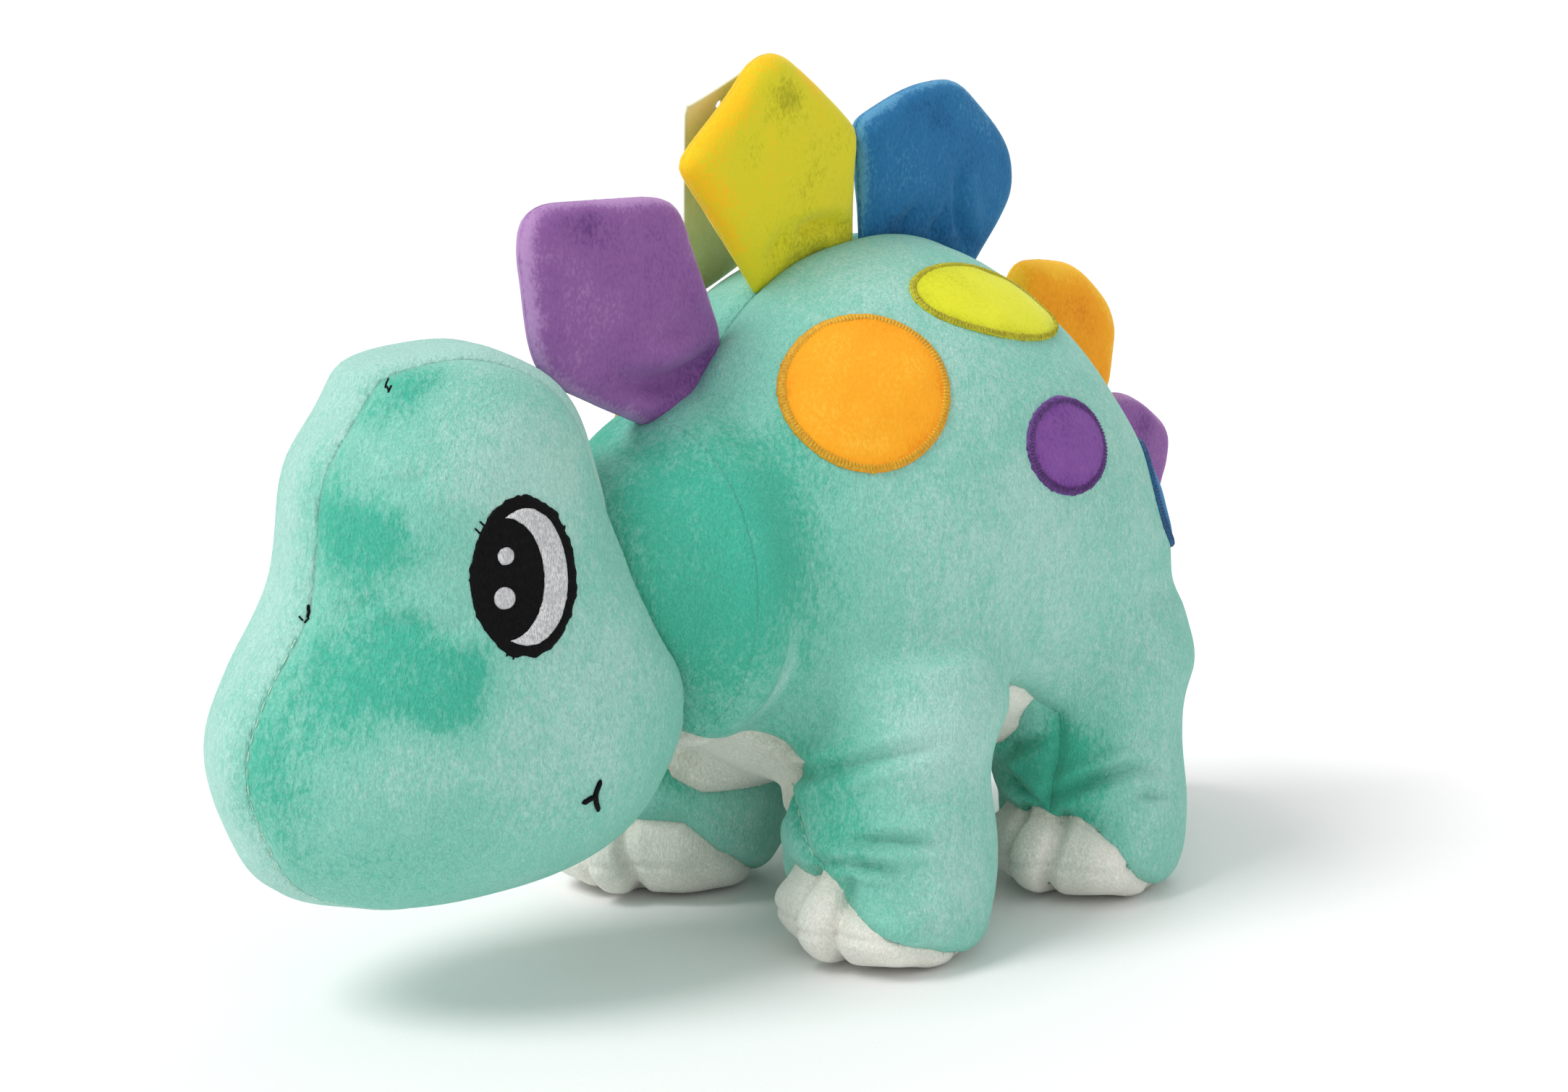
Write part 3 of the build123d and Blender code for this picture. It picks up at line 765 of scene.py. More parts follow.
def panel_of(p):
    """The number of the panel that each point lies on."""
    owner = np.where(p[:, 0] > 0, LEFT_CLOTH, RIGHT_CLOTH)
    low = belly_edge(p) < 0
    in_leg = np.zeros(len(p), bool)
    for i, leg in enumerate(legs):
        inside = (leg.cloth(p) < 0) & low
        in_leg |= inside
        owner[inside & (leg.seam(p) < 0)] = INNER + i
        owner[inside & (leg.toe_edge(p) < 0)] = TOES + i
        owner[inside & (p[:, 2] < SOLE_EDGE)] = SOLE + i
    owner[low & ~in_leg] = BELLY_CLOTH
    owner[(p[:, 1] < NECK_RING) & ~low] = NECK_CLOTH
    tail = along_tail(p) > TAIL_SEAM
    owner[tail & (p[:, 0] > 0)] = TAIL_LEFT
    owner[tail & (p[:, 0] <= 0)] = TAIL_RIGHT
    return owner


def cut_into_panels(points, triangles, cuts, owner_of):
    for cut in cuts:
        points, triangles = split_along(points, triangles, cut(points))
    return points, triangles, owner_of(middle_of(points, triangles))


def seam_distance(points, triangles, owner, unseen=()):
    """How far each point is from the nearest seam between two panels. Pairs in unseen have no seam."""
    first = np.full(len(points), 999)
    last = np.full(len(points), -1)
    for i in range(3):
        np.minimum.at(first, triangles[:, i], owner)
        np.maximum.at(last, triangles[:, i], owner)
    on_seam = (first != last) & (last >= 0)
    for pair in unseen:
        on_seam &= ~((first == min(pair)) & (last == max(pair)))
    tree = KDTree(int(on_seam.sum()))
    for i, p in enumerate(points[on_seam]):
        tree.insert(p, i)
    tree.balance()
    return np.array([tree.find(p)[2] for p in points])


SEAM_DEPTH = 2.0 * MM
SEAM_WIDTH = 2.3 * MM
SEAM_PUFF = 0.7 * MM  # the cloth swells beside a seam


def seam_press(distance, depth=SEAM_DEPTH):
    return depth * bell(distance, SEAM_WIDTH) - SEAM_PUFF * bell(distance - 8 * MM, 4.5 * MM)


# Folds of the cloth on a leg, as (out, back, height) from its sole's middle, then depth and width, in mm
FRONT_LEG_FOLDS = (
    (((-33, -16, 62), (-14, -27, 68), (2, -27, 73), (16, -19, 78), (28, -3, 81)), 4.2, 3.6),
    (((-6, -32, 38), (6, -32, 40), (17, -26, 40), (26, -18, 36)), 4.0, 2.8),
    (((6, -30, 47), (18, -22, 49), (27, -12, 48), (33, -2, 45)), 3.4, 2.8),
    (((20, -16, 60), (29, -3, 62), (33, 8, 60)), 1.4, 4.5),
    (((-24, 12, 60), (-8, 32, 62), (12, 36, 66)), 2.6, 4.0),
)
HIND_LEG_FOLDS = (
    (((2, -33, 38), (10, -30, 43), (19, -22, 48), (28, -8, 52), (32, 6, 50)), 4.4, 3.2),
    (((-20, -26, 52), (-10, -31, 57), (3, -29, 63)), 3.4, 3.2),
    (((-22, -24, 47), (-10, -31, 43), (2, -33, 38)), 3.8, 3.0),
    (((22, -16, 41), (31, -2, 41), (33, 10, 39)), 2.4, 2.8),
    (((-24, 14, 58), (-8, 34, 56), (14, 38, 60)), 2.6, 4.0),
)
# Folds round the neck and body, as frame points in mm
BODY_FOLDS = (
    (((47, -66, 160), (50, -64, 140), (46, -62, 118), (38, -60, 100)), 2.6, 3.4),
    (((52, -52, 128), (48, -51, 110), (38, -52, 96), (28, -52, 88)), 2.6, 3.6),
    (((60, -44, 118), (58, -42, 100), (54, -38, 88)), 1.4, 4.5),
)
TOE_MIDDLE = 15.5 * MM  # height of the seam round the toes
TOE_SEAM_DEPTH = 1.2 * MM
TOE_SEAM_WIDTH = 1.5 * MM
LUMPS = 0.9 * MM  # how unevenly the filling lies
RUMP_PRESSES = (((55, 170, 115), 58, 6.0), ((60, 150, 150), 36, 2.5))  # place, size and depth, in mm


def body_sculpt(points, triangles, owner, distance):
    """How far each point of the body's cloth is pressed in."""
    depth = seam_press(distance)
    for stops, deep, wide in BODY_FOLDS:
        depth += crease(both_sides(points), np.array(stops, float) * MM, deep * MM, wide * MM)
    depth += hollows(both_sides(points), RUMP_PRESSES, 0.2)
    for leg in legs:
        near = (np.abs(leg.out(points)) < 50 * MM) & (np.abs(points[:, 1] - leg.y) < 60 * MM)
        near &= points[:, 2] < 100 * MM
        place = points[near]
        for stops, deep, wide in FRONT_LEG_FOLDS if leg.front else HIND_LEG_FOLDS:
            stops = [leg.at(*stop) for stop in stops]
            depth[near] += crease(place, stops, deep * MM, wide * MM)
    on_toes = np.zeros(len(points), bool)
    on_toes[triangles[(owner >= TOES) & (owner < SOLE)]] = True
    depth[on_toes] += TOE_SEAM_DEPTH * bell(points[on_toes, 2] - TOE_MIDDLE, TOE_SEAM_WIDTH)
    for leg in legs:
        near = np.hypot(leg.out(points), leg.y - points[:, 1]) < 56 * MM
        near &= points[:, 2] < 42 * MM
        depth[near] += GROOVE_DEPTH * leg.groove(points[near])
    return depth + LUMPS * noise(points, 38 * MM, 2) * ramp(points[:, 2], 6 * MM, 40 * MM)


# Where the pile stands up and shows its deep colour, or lies flat and pale, together with painted shade: deep low down,
# under the head and between the legs, pale on the tops and outer bulges. Place in mm, size, strength
BODY_NAP_AND_SHADE = (
    ((24, -80, 165), 44, 0.5), ((40, -60, 148), 46, 0.36), ((34, -68, 110), 46, 0.4),
    ((58, -40, 66), 22, 0.42), ((75, -39, 44), 18, 0.4), ((77, 81, 50), 22, 0.5), ((53, 73, 49), 24, 0.5),
    ((23, -24, 222), 22, 0.22), ((40, -30, 190), 26, 0.12), ((30, -30, 56), 20, 0.5),
    ((71, -15, 148), 30, -0.08), ((90, -8, 85), 22, -0.28), ((88, 60, 140), 60, -0.14),
    ((50, 10, 238), 46, -0.12), ((92, 100, 46), 16, -0.25), ((94, -14, 30), 16, -0.2),
    ((60, 150, 110), 34, 0.25), ((0, 215, 40), 40, 0.2),
)
HEAD_NAP_AND_SHADE = (
    ((30, -90, 93), 11, 0.45), ((27, -104, 80), 10, 0.3), ((30, -119, 50), 20, 0.42),
    ((43, -105, 40), 15, 0.36), ((52, -88, 38), 10, 0.2), ((32, -116, 34), 12, 0.25),
    ((48, -103, -3), 24, 0.55), ((54, -86, -8), 15, 0.42), ((39, -121, -8), 22, 0.25),
    ((30, -142, -28), 18, 0.32), ((26, -140, -50), 16, 0.2), ((47, -99, -66), 24, 0.22),
    ((52, -104, -28), 15, -0.22), ((31, -112, 66), 11, -0.25), ((53, -40, -18), 36, -0.2),
    ((40, -50, 68), 40, -0.22), ((52, -60, 60), 26, -0.18),
)
NAP_LEVEL = 0.34
NAP_AND_SHADE_SOFT = 0.95  # how strongly the zones show


def nap_and_shade_of(points, zones, level=NAP_LEVEL):
    """How deep the pile's colour is at each point, from the lie of its pile and from painted shade, the same on both
    sides.
    """
    wavy = both_sides(points) / MM + 7 * np.column_stack([noise(points + shift, 14 * MM, 2) for shift in (0, 1.3, 2.7)])
    nap = np.full(len(points), level)
    for centre, size, strength in zones:
        away = np.linalg.norm(wavy - np.array(centre), axis=1)
        nap += NAP_AND_SHADE_SOFT * strength * (1 - ramp(away, 0, 1.7 * size))
    return nap


def cloth_piece(name, points, triangles, nap, body, nodes, cream=False):
    """One sewn panel of plush; without a body it is left unattached."""
    material, slot = (CREAM, "cream_plush") if cream else (MINT, "mint_plush")
    piece = make_piece(name, points, triangles, material, body, nodes, nap, SHEET)
    return piece


FINE_BELOW = 88 * MM  # the legs' folds and toes need smaller triangles


def finer(points, triangles, chosen):
    """Chosen triangles cut into four, and their neighbours cut to match."""
    edges = np.sort(triangles[:, [[0, 1], [1, 2], [2, 0]]], axis=2)
    keys = edges[:, :, 0] * len(points) + edges[:, :, 1]
    halved = np.unique(keys[chosen])
    split = np.isin(keys, halved)
    middles = (points[halved // len(points)] + points[halved % len(points)]) / 2
    number = np.where(split, len(points) + np.searchsorted(halved, keys), -1)
    points = np.concatenate((points, middles))
    made = [triangles[~split.any(axis=1)]]
    count = split.sum(axis=1)
    t, n = triangles[count == 3], number[count == 3]
    made += [np.stack((t[:, i], n[:, i], n[:, i - 1]), 1) for i in range(3)] + [n]
    for i in range(3):
        only_one = (count == 1) & split[:, i]
        t, n = triangles[only_one], number[only_one]
        a, b, c = t[:, i], t[:, (i + 1) % 3], t[:, (i + 2) % 3]
        made += [np.stack((a, n[:, i], c), 1), np.stack((n[:, i], b, c), 1)]
        two = (count == 2) & ~split[:, i]
        t, n = triangles[two], number[two]
        a, b, c = t[:, i], t[:, (i + 1) % 3], t[:, (i + 2) % 3]
        right, left = n[:, (i + 1) % 3], n[:, (i + 2) % 3]
        made += [np.stack((a, b, right), 1), np.stack((a, right, left), 1), np.stack((left, right, c), 1)]
    return points, np.concatenate(made)


def make_body():
    lattice = Lattice((-0.106, -0.122, -0.008), (0.106, 0.238, 0.256))
    points, triangles = lattice.surface(body_field(lattice))
    points, triangles = finer(points, triangles, middle_of(points, triangles)[:, 2] < FINE_BELOW)
    points, triangles, owner = cut_into_panels(points, triangles, panel_cuts(), panel_of)
    unseen = [(NECK_CLOTH, LEFT_CLOTH), (NECK_CLOTH, RIGHT_CLOTH)]
    unseen += [(TOES + i, SOLE + i) for i in range(len(legs))]
    distance = seam_distance(points, triangles, owner, unseen)
    points = pressed(points, triangles, body_sculpt(points, triangles, owner, distance))
    points[:, 2] = np.maximum(points[:, 2], 0.2 * MM)
    # The colour runs deeper within a few mm of every seam: painted shade in the seam's groove.
    nap = nap_and_shade_of(points, BODY_NAP_AND_SHADE) + 0.12 * bell(distance, 5 * MM)
    # Pale lines 3 mm beside the two neck folds: painted highlights on the cloth rolled up beside each crease.
    for stops, _, _ in BODY_FOLDS[:2]:
        away, along = near_line(both_sides(points), np.array(stops, float) * MM)
        nap -= 0.6 * bell(away - 3 * MM, 1.8 * MM) * np.sin(np.pi * np.clip(along, 0, 1))
    pick = lambda number: triangles[owner == number]
    for number, name in ((LEFT_CLOTH, "left_body"), (RIGHT_CLOTH, "right_body"), (BELLY_CLOTH, "belly")):
        panel = name + "_panel"
        cloth = cloth_piece(name + "_cloth", points, pick(number), nap, None, [panel], name == "belly")
        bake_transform(cloth)
    cloth_piece("neck_cloth", points, pick(NECK_CLOTH), nap, "neck", ["neck_skin"])
    for name, number in (("tail_left", TAIL_LEFT), ("tail_right", TAIL_RIGHT)):
        tail = cloth_piece(name + "_cloth", points, pick(number), nap, None, [name + "_panel"])
        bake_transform(tail)
    for i, leg in enumerate(legs):
        cloth_piece(leg.name + "_inner_leg_cloth", points, pick(INNER + i), nap, "torso", [leg.name + "_leg_skin"])
        cloth_piece(leg.name + "_toe_cap", points, pick(TOES + i), nap, "torso", [leg.name + "_toes"], True)
        cloth_piece(leg.name + "_sole_cloth", points, pick(SOLE + i), nap, "torso", [leg.name + "_sole"], True)
    return BVHTree.FromPolygons(points.tolist(), triangles.tolist())


# ------------------------------------------------------------------ head
GUSSET_HALF = 21 * MM  # half width of the centre strip
HEAD_FOLDS = (  # (across, back, up) in the head's axes, then depth and width, in mm
    (((52, -84, 12), (50, -92, 10), (47, -99, 13), (42, -108, 12)), 1.1, 3.5),
    (((50, -90, 62), (44, -100, 58), (36, -110, 56)), 1.0, 4.5),
    (((30, -122, 14), (36, -116, 17), (42, -108, 20)), 1.0, 3.0),
    (((52, -20, -36), (54, -12, -20), (52, -6, -6)), 1.6, 4.0),
)
HEAD_PRESSES = (((10, -108, 74), 55, 4.0), ((14, -130, 8), 34, -3.0))  # place, size and depth, in mm
HEAD_SEAM_DEPTH = 0.8 * MM
EYE_CENTRE = np.array((-63.5, 26)) * MM  # ahead of the head's origin, and above it
EYE_HOLLOW = (25 * MM, 32 * MM)  # how far the stitching draws the cloth in round an eye
EYE_HOLLOW_DEPTH = 1.6 * MM


def head_cuts():
    yield lambda p: in_head(p)[:, 0] - GUSSET_HALF
    yield lambda p: in_head(p)[:, 0] + GUSSET_HALF


def head_sculpt(points, distance):
    own = in_head(points)
    depth = seam_press(distance, HEAD_SEAM_DEPTH)
    for stops, deep, wide in HEAD_FOLDS:
        depth += crease(both_sides(own), np.array(stops, float) * MM, deep * MM, wide * MM)
    depth += hollows(both_sides(own), HEAD_PRESSES, 0)
    eye = np.hypot((own[:, 1] - EYE_CENTRE[0]) / EYE_HOLLOW[0], (own[:, 2] - EYE_CENTRE[1]) / EYE_HOLLOW[1])
    depth += EYE_HOLLOW_DEPTH * bell(eye, 1.0)
    return depth + LUMPS * noise(points + 0.5, 34 * MM, 2)


def make_head():
    lattice = Lattice((-0.082, -0.236, 0.028), (0.054, -0.052, 0.234))
    field = blurred(lattice.nodes("head_stuffing") - CLOTH, 7)
    field = smooth_max(field, -(neck_field(lattice) - CLOTH - 0.8 * MM), 4 * MM)
    points, triangles = lattice.surface(field)
    sides = lambda p: np.digitize(in_head(p)[:, 0], (-GUSSET_HALF, GUSSET_HALF))
    points, triangles, owner = cut_into_panels(points, triangles, head_cuts(), sides)
    distance = seam_distance(points, triangles, owner)
    points = pressed(points, triangles, head_sculpt(points, distance))
    own = in_head(points)
    nap = nap_and_shade_of(own, HEAD_NAP_AND_SHADE)
    across = np.abs(own[:, 0]) - GUSSET_HALF
    nap += 0.20 * (1 - ramp(across, 0, 38 * MM)) * (1 - ramp(own[:, 2], 84 * MM, 100 * MM))
    strip = np.clip(nap - 0.42, 0.0, 0.4)
    for number, name, node in (
        (0, "head_right_cloth", "head_right_panel"),
        (1, "head_gusset_cloth", "head_gusset"),
        (2, "head_left_cloth", "head_left_panel"),
    ):
        cloth_piece(
            name, points, triangles[owner == number], strip if number == 1 else nap, "head", [node]
        )
    return BVHTree.FromPolygons(points.tolist(), triangles.tolist())


# ------------------------------------------------------------------ filling inside the cloth
def make_fillings():
    lattice = Lattice((-0.106, -0.236, -0.008), (0.106, 0.238, 0.256))
    for node, body, inset in (
        ("torso_stuffing", "torso", 7),
        *((name + "_leg_stuffing", "torso", 9) for name in LEGS),
        ("neck_stuffing", "neck", 6),
        ("head_stuffing", "head", 6),
        ("tail_stuffing", "tail", 6),
    ):
        points, triangles = lattice.surface(lattice.nodes(node) + inset * MM)
        name = node.replace("stuffing", "fibre_filling")
        piece = make_piece(name, points, triangles, FILL, body, [node])


# ------------------------------------------------------------------ flat shapes
def flat_grid(low, high, step):
    """An even net of triangles over a rectangle, at height 0."""
    across = np.arange(low[0] - step, high[0] + 2 * step, step)
    up = np.arange(low[1] - step, high[1] + 2 * step, step * math.sqrt(3) / 2)
    x, y = np.meshgrid(across, up, indexing="ij")
    x = x + (np.arange(len(up)) % 2) * step / 2
    points = np.column_stack((x.ravel(), y.ravel(), np.zeros(x.size)))
    index = np.arange(x.size).reshape(x.shape)
    a, b, c, d = index[:-1, :-1], index[1:, :-1], index[:-1, 1:], index[1:, 1:]
    odd = (np.arange(len(up) - 1) % 2 == 1)[None, :] & np.ones(a.shape, bool)
    first = np.where(odd[..., None], np.stack((a, b, d), -1), np.stack((a, b, c), -1))
    second = np.where(odd[..., None], np.stack((a, d, c), -1), np.stack((b, d, c), -1))
    return points, np.concatenate((first.reshape(-1, 3), second.reshape(-1, 3)))


def cut_shape(inside, low, high, step):
    """A flat net trimmed to where inside, a function of flat points, is above 0."""
    points, triangles = flat_grid(low, high, step)
    points, triangles = split_along(points, triangles, inside(points))
    triangles = triangles[inside(middle_of(points, triangles)) > 0]
    points, triangles, _ = only(points, triangles)
    return points, triangles


def rounded_outline(corners, cuts, steps=8):
    """A closed outline through the corners, each rounded off over its own cut length."""
    corners = np.array(corners, float)
    line = []
    for i, corner in enumerate(corners):
        before, after = corners[i - 1], corners[(i + 1) % len(corners)]
        start = corner + (before - corner) * min(0.5, cuts[i] / np.linalg.norm(before - corner))
        end = corner + (after - corner) * min(0.5, cuts[i] / np.linalg.norm(after - corner))
        for t in np.linspace(0, 1, steps):
            line.append(start * (1 - t) ** 2 + corner * 2 * t * (1 - t) + end * t**2)
    return np.array(line)


def depth_inside(points, outline):
    """Distance of flat points inside an outline; below 0 outside."""
    best = np.full(len(points), 1e9)
    inside = np.zeros(len(points), bool)
    for start, end in zip(outline, np.roll(outline, -1, axis=0)):
        run = end - start
        if run @ run < 1e-16:
            continue
        t = np.clip((points[:, :2] - start) @ run / (run @ run), 0, 1)
        best = np.minimum(best, np.linalg.norm(points[:, :2] - start - t[:, None] * run, axis=1))
        spans = (start[1] > points[:, 1]) != (end[1] > points[:, 1])
        rise = np.where(abs(end[1] - start[1]) < 1e-12, 1e-12, end[1] - start[1])
        cross = start[0] + (points[:, 1] - start[1]) / rise * run[0]
        inside ^= spans & (points[:, 0] < cross)
    return np.where(inside, best, -best)


# ------------------------------------------------------------------ back plates
# Outline corners from the seam's front end round to its rear end, as (along the back, out) in mm, with
# how much each corner is rounded; then the folds, as stops, depth and width
PLATE_SHAPES = {
    "purple_front": (
        ((-16, -6, 2), (-31, 24, 12), (-43, 50, 10), (-39, 64, 10), (-18, 95, 12), (-6, 97, 10), (36, 60, 11),
         (40, 51, 8), (31, 24, 10), (27, 6, 6), (19, -6, 3), (2, -3, 10)),
        (((19, 1), (1, 8), (-13, 18), (-24, 30), 6.4, 6.0), ((29, 9), (14, 19), (0, 34), 2.6, 7.0)),
    ),
    "yellow": (
        ((-26, -8, 2), (-41, 26, 10), (-51, 46, 6), (-47, 51, 6), (-18, 66, 14), (-9, 73, 8), (4, 74, 8),
         (18, 60, 10), (35, 39, 8), (37, 34, 6), (31, 17, 10), (26, -8, 2), (0, -3, 16)),
        (((22, 2), (8, 9), (-8, 10), 3.4, 3.6), ((-20, 3), (-10, 16), 1.6, 4.0)),
    ),
    "blue": (
        ((-27, -8, 2), (-31, 15, 10), (-37, 39, 8), (-30, 44, 10), (-10, 55, 12), (8, 60, 10), (18, 60, 8),
         (42, 46, 12), (51, 37, 8), (55, 23, 10), (50, 10, 8), (36, -10, 4), (0, -3, 20)),
        (((30, 1), (20, 10), (14, 26), 3.6, 4.0), ((6, 0), (12, 10), (10, 18), 2.6, 3.6),
         ((-12, 2), (-4, 10), 1.8, 3.6)),
    ),
    "orange": (
        ((-23, -8, 2), (-37, 26, 10), (-28, 36, 10), (-10, 50, 10), (14, 54, 10), (28, 51, 8), (46, 27, 10),
         (38, 10, 8), (24, -8, 2), (0, -3, 14)),
        (((16, 3), (4, 12), 3.0, 3.6),),
    ),
    "purple_rear": (
        ((-17, -7, 2), (-19, 28, 8), (-14, 40, 8), (-2, 50, 8), (15, 59, 8), (25, 57, 8), (42, 38, 10),
         (34, 20, 8), (18, -7, 2), (0, -3, 10)),
        (((12, 3), (0, 12), 3.0, 3.6),),
    ),
}
PLATE_COLOURS = {"purple": PURPLE, "yellow": YELLOW, "blue": BLUE, "orange": ORANGE}
PLATE_RIM = {"purple": 3, "yellow": 7, "blue": 2, "orange": 6}  # width of the paler edge, in mm
PLATE_HALF = 8.2 * MM  # half thickness at the fullest
PLATE_ROUND = 11 * MM  # the rim is rounded over this width
PLATE_STEP = 2.0 * MM
PLATE_CLOTH = 0.9 * MM


class Plate:
    """One padded back plate, stood on its seam in the frame."""

    def __init__(self, name):
        self.name = name
        hinge = joint(name + "_plate_flop")
        self.foot = np.array(hinge["pos_m"])
        self.along = np.array(hinge["axis"])
        self.out = np.array((0, -self.along[2], self.along[1]))
        corners, self.folds = PLATE_SHAPES[name]
        self.outline = rounded_outline(
            np.array([c[:2] for c in corners]) * MM, [c[2] * MM for c in corners]
        )

    def face(self, side, inset=0.0, under=0.0):
        """One face's points and triangles, swelled out to its side, or lower by under."""
        low, high = self.outline.min(axis=0), self.outline.max(axis=0)
        points, triangles = cut_shape(
            lambda p: depth_inside(p, self.outline) - inset, low, high, PLATE_STEP
        )
        deep = np.maximum(depth_inside(points, self.outline) - inset, 0)
        near = np.minimum(deep / PLATE_ROUND, 1)
        rim = np.sin(near * math.pi / 2)
        # Points crowd towards the rim, so that its roundness is even.
        shift = (1 - np.cos(near * math.pi / 2)) * PLATE_ROUND - near * PLATE_ROUND
        step = 0.2 * MM
        slope = np.column_stack([
            (depth_inside(points + move, self.outline) - depth_inside(points - move, self.outline)) / (2 * step)
            for move in ((step, 0, 0), (0, step, 0))
        ])
        flat = points[:, :2] + slope * shift[:, None]
        half = PLATE_HALF - inset
        swell = half * rim * (0.84 + 0.16 * ramp(deep, PLATE_ROUND, 2.2 * PLATE_ROUND))
        pinch = 0.60 + 0.40 * ramp(flat[:, 1], -2 * MM, 24 * MM)
        seed = np.column_stack((flat, flat[:, :1] * 0 + side))
        pucker = 0.35 * MM * noise(seed, 5 * MM) * bell(deep - 5 * MM, 4 * MM)
        lumps = 0.7 * MM * noise(seed + self.foot, 24 * MM, 2) * rim
        thick = swell * pinch + pucker * rim + lumps
        flat3 = np.column_stack((flat, np.zeros(len(flat))))
        for *stops, depth, width in self.folds:
            stops3 = [(a * MM, b * MM, 0) for a, b in stops]
            thick -= crease(flat3, stops3, depth * MM, width * MM) * rim * (1 if side > 0 else 0.6)
        thick = np.where(deep <= 0, 0, np.maximum(thick - under, 0.25 * MM * rim))
        placed = (
            self.foot + flat[:, :1] * self.along + flat[:, 1:] * self.out
            + thick[:, None] * np.array((side, 0, 0))
        )
        if (np.cross(self.along, self.out)[0] > 0) != (side > 0):
            triangles = triangles[:, ::-1]
        return placed, triangles, deep, flat

    def make(self):
        colour = self.name.split("_")[0]
        for side, word in ((1, "left"), (-1, "right")):
            points, triangles, deep, flat = self.face(side)
            rim = bell(deep - 2 * MM, PLATE_RIM[colour] * MM)
            if colour == "yellow":  # warm along the front and top edges only
                rim *= 0.75 * ramp(flat[:, 1] - 1.3 * flat[:, 0], -10 * MM, 60 * MM)
            nap = 0.5 - 0.5 * rim + 0.25 * bell(flat[:, 1], 12 * MM)
            top = flat[:, 1].max()
            nap += 0.30 * bell(np.hypot(flat[:, 0] - 2 * MM, flat[:, 1] - top + 16 * MM), 9 * MM)
            piece = make_piece(
                f"{self.name}_plate_{word}_cloth", points, triangles, PLATE_COLOURS[colour],
                self.name + "_plate", [f"{self.name}_plate_{word}_face"], nap, PLATE_CLOTH,
            )
        inner = [self.face(side, 2.6 * MM, 1.6 * MM) for side in (1, -1)]
        points = np.concatenate([face[0] for face in inner])
        triangles = np.concatenate((inner[0][1], inner[1][1] + len(inner[0][0])))
        piece = make_piece(
            f"{self.name}_plate_fibre_filling", points, triangles, FILL, self.name + "_plate",
            [f"{self.name}_plate_filling"],
        )


# ------------------------------------------------------------------ patches and embroidery laid on the cloth
class Surface:
    """Lays flat work on a cloth surface, seen along one direction."""

    def __init__(self, tree, centre, facing, level=None):
        self.tree = tree
        self.centre = np.array(centre, float)
        self.facing = np.array(facing, float) / np.linalg.norm(facing)
        level = np.cross((0, 0, 1), self.facing) if level is None else np.array(level, float)
        self.level = level / np.linalg.norm(level)
        self.up = np.cross(self.facing, self.level)

    def lay(self, flat, height):
        """Points on the cloth behind flat ones, raised by a height along the cloth's normal."""
        placed = np.empty((len(flat), 3))
        for i, (a, b) in enumerate(flat[:, :2]):
            start = self.centre + self.level * a + self.up * b + self.facing * 40 * MM
            hit, normal, _, _ = self.tree.ray_cast(Vector(start), Vector(-self.facing))
            if hit is None:
                hit, normal, _, _ = self.tree.find_nearest(Vector(start - self.facing * 40 * MM))
            placed[i] = np.array(hit) + np.array(normal) * height[i]
        return placed


def domed(deep, height, edge):
    """Height of flat work whose rim falls to the cloth over the edge width."""
    t = np.clip(deep / edge, 0, 1)
    return height * np.sqrt(np.maximum(1 - (1 - t) ** 2, 0))


def oval(points, centre, half):
    """Roughly the distance inside an oval, in the points' own units."""
    scaled = np.hypot((points[:, 0] - centre[0]) / half[0], (points[:, 1] - centre[1]) / half[1])
    return (1 - scaled) * min(half)


def satin_ring(surface, half, width, height, row):
    """A closed satin stitched rim round an oval: points and triangles."""
    turns = np.linspace(0, 2 * math.pi, 2000)
    line = np.column_stack((half[0] * np.cos(turns), half[1] * np.sin(turns)))
    length = np.concatenate(([0], np.cumsum(np.linalg.norm(np.diff(line, axis=0), axis=1))))
    rows = int(length[-1] / row)
    angle = np.interp(np.linspace(0, length[-1], 3 * rows, endpoint=False), length, turns)
    generator = np.random.default_rng(SEED)
    ragged = np.repeat(generator.normal(0, 0.13, rows), 3)
    ridge = np.tile((0.55, 1.0, 0.85), rows)
    across = np.array((-1.0, -0.78, -0.3, 0.3, 0.78, 1.0, 0.7, -0.7))
    lift = np.array((0.02, 0.62, 0.97, 0.97, 0.62, 0.02, -0.35, -0.35))
    cos, sin = np.cos(angle), np.sin(angle)
    middle = np.column_stack((half[0] * cos, half[1] * sin))
    normal = np.column_stack((cos / half[0], sin / half[1]))
    normal /= np.linalg.norm(normal, axis=1, keepdims=True)
    offset = across[None, :] * width / 2 * (1 + ragged[:, None] * np.abs(across[None, :]))
    flat = middle[:, None, :] + normal[:, None, :] * offset[..., None]
    heights = lift[None, :] * height * ridge[:, None]
    placed = surface.lay(flat.reshape(-1, 2), heights.ravel())
    n, m = len(angle), len(across)
    i, j = np.meshgrid(np.arange(n), np.arange(m), indexing="ij")
    a, b = i * m + j, (i + 1) % n * m + j
    c, d = (i + 1) % n * m + (j + 1) % m, i * m + (j + 1) % m
    triangles = np.concatenate((np.stack((a, b, c), -1).reshape(-1, 3), np.stack((a, c, d), -1).reshape(-1, 3)))
    return facing_out(placed - placed.mean(axis=0), triangles)[1], placed


SPOTS = {  # place on the left flank, the way it faces, half sizes in mm, turn, cloth, thread, thread width
    "orange": ((50, -12, 200), (0.75, -0.3, 0.6), (30.5, 29.5), 0, ORANGE_PATCH, GOLD_THREAD, 3.6),
    "yellow": ((50, 54, 226), (0.62, 0.11, 0.77), (35, 19), -20, YELLOW_PATCH, LIME_THREAD, 2.8),
    "purple": ((82, 61, 177), (0.97, 0.05, 0.2), (22, 18), 0, PURPLE_PATCH, PLUM_THREAD, 3.6),
    "blue": ((66, 130, 148), (0.75, 0.5, 0.4), (20, 22), 0, BLUE_PATCH, BLUE_THREAD, 3.0),
}
PATCH_STEP = 1.8 * MM
PATCH_THICK = 0.5 * MM


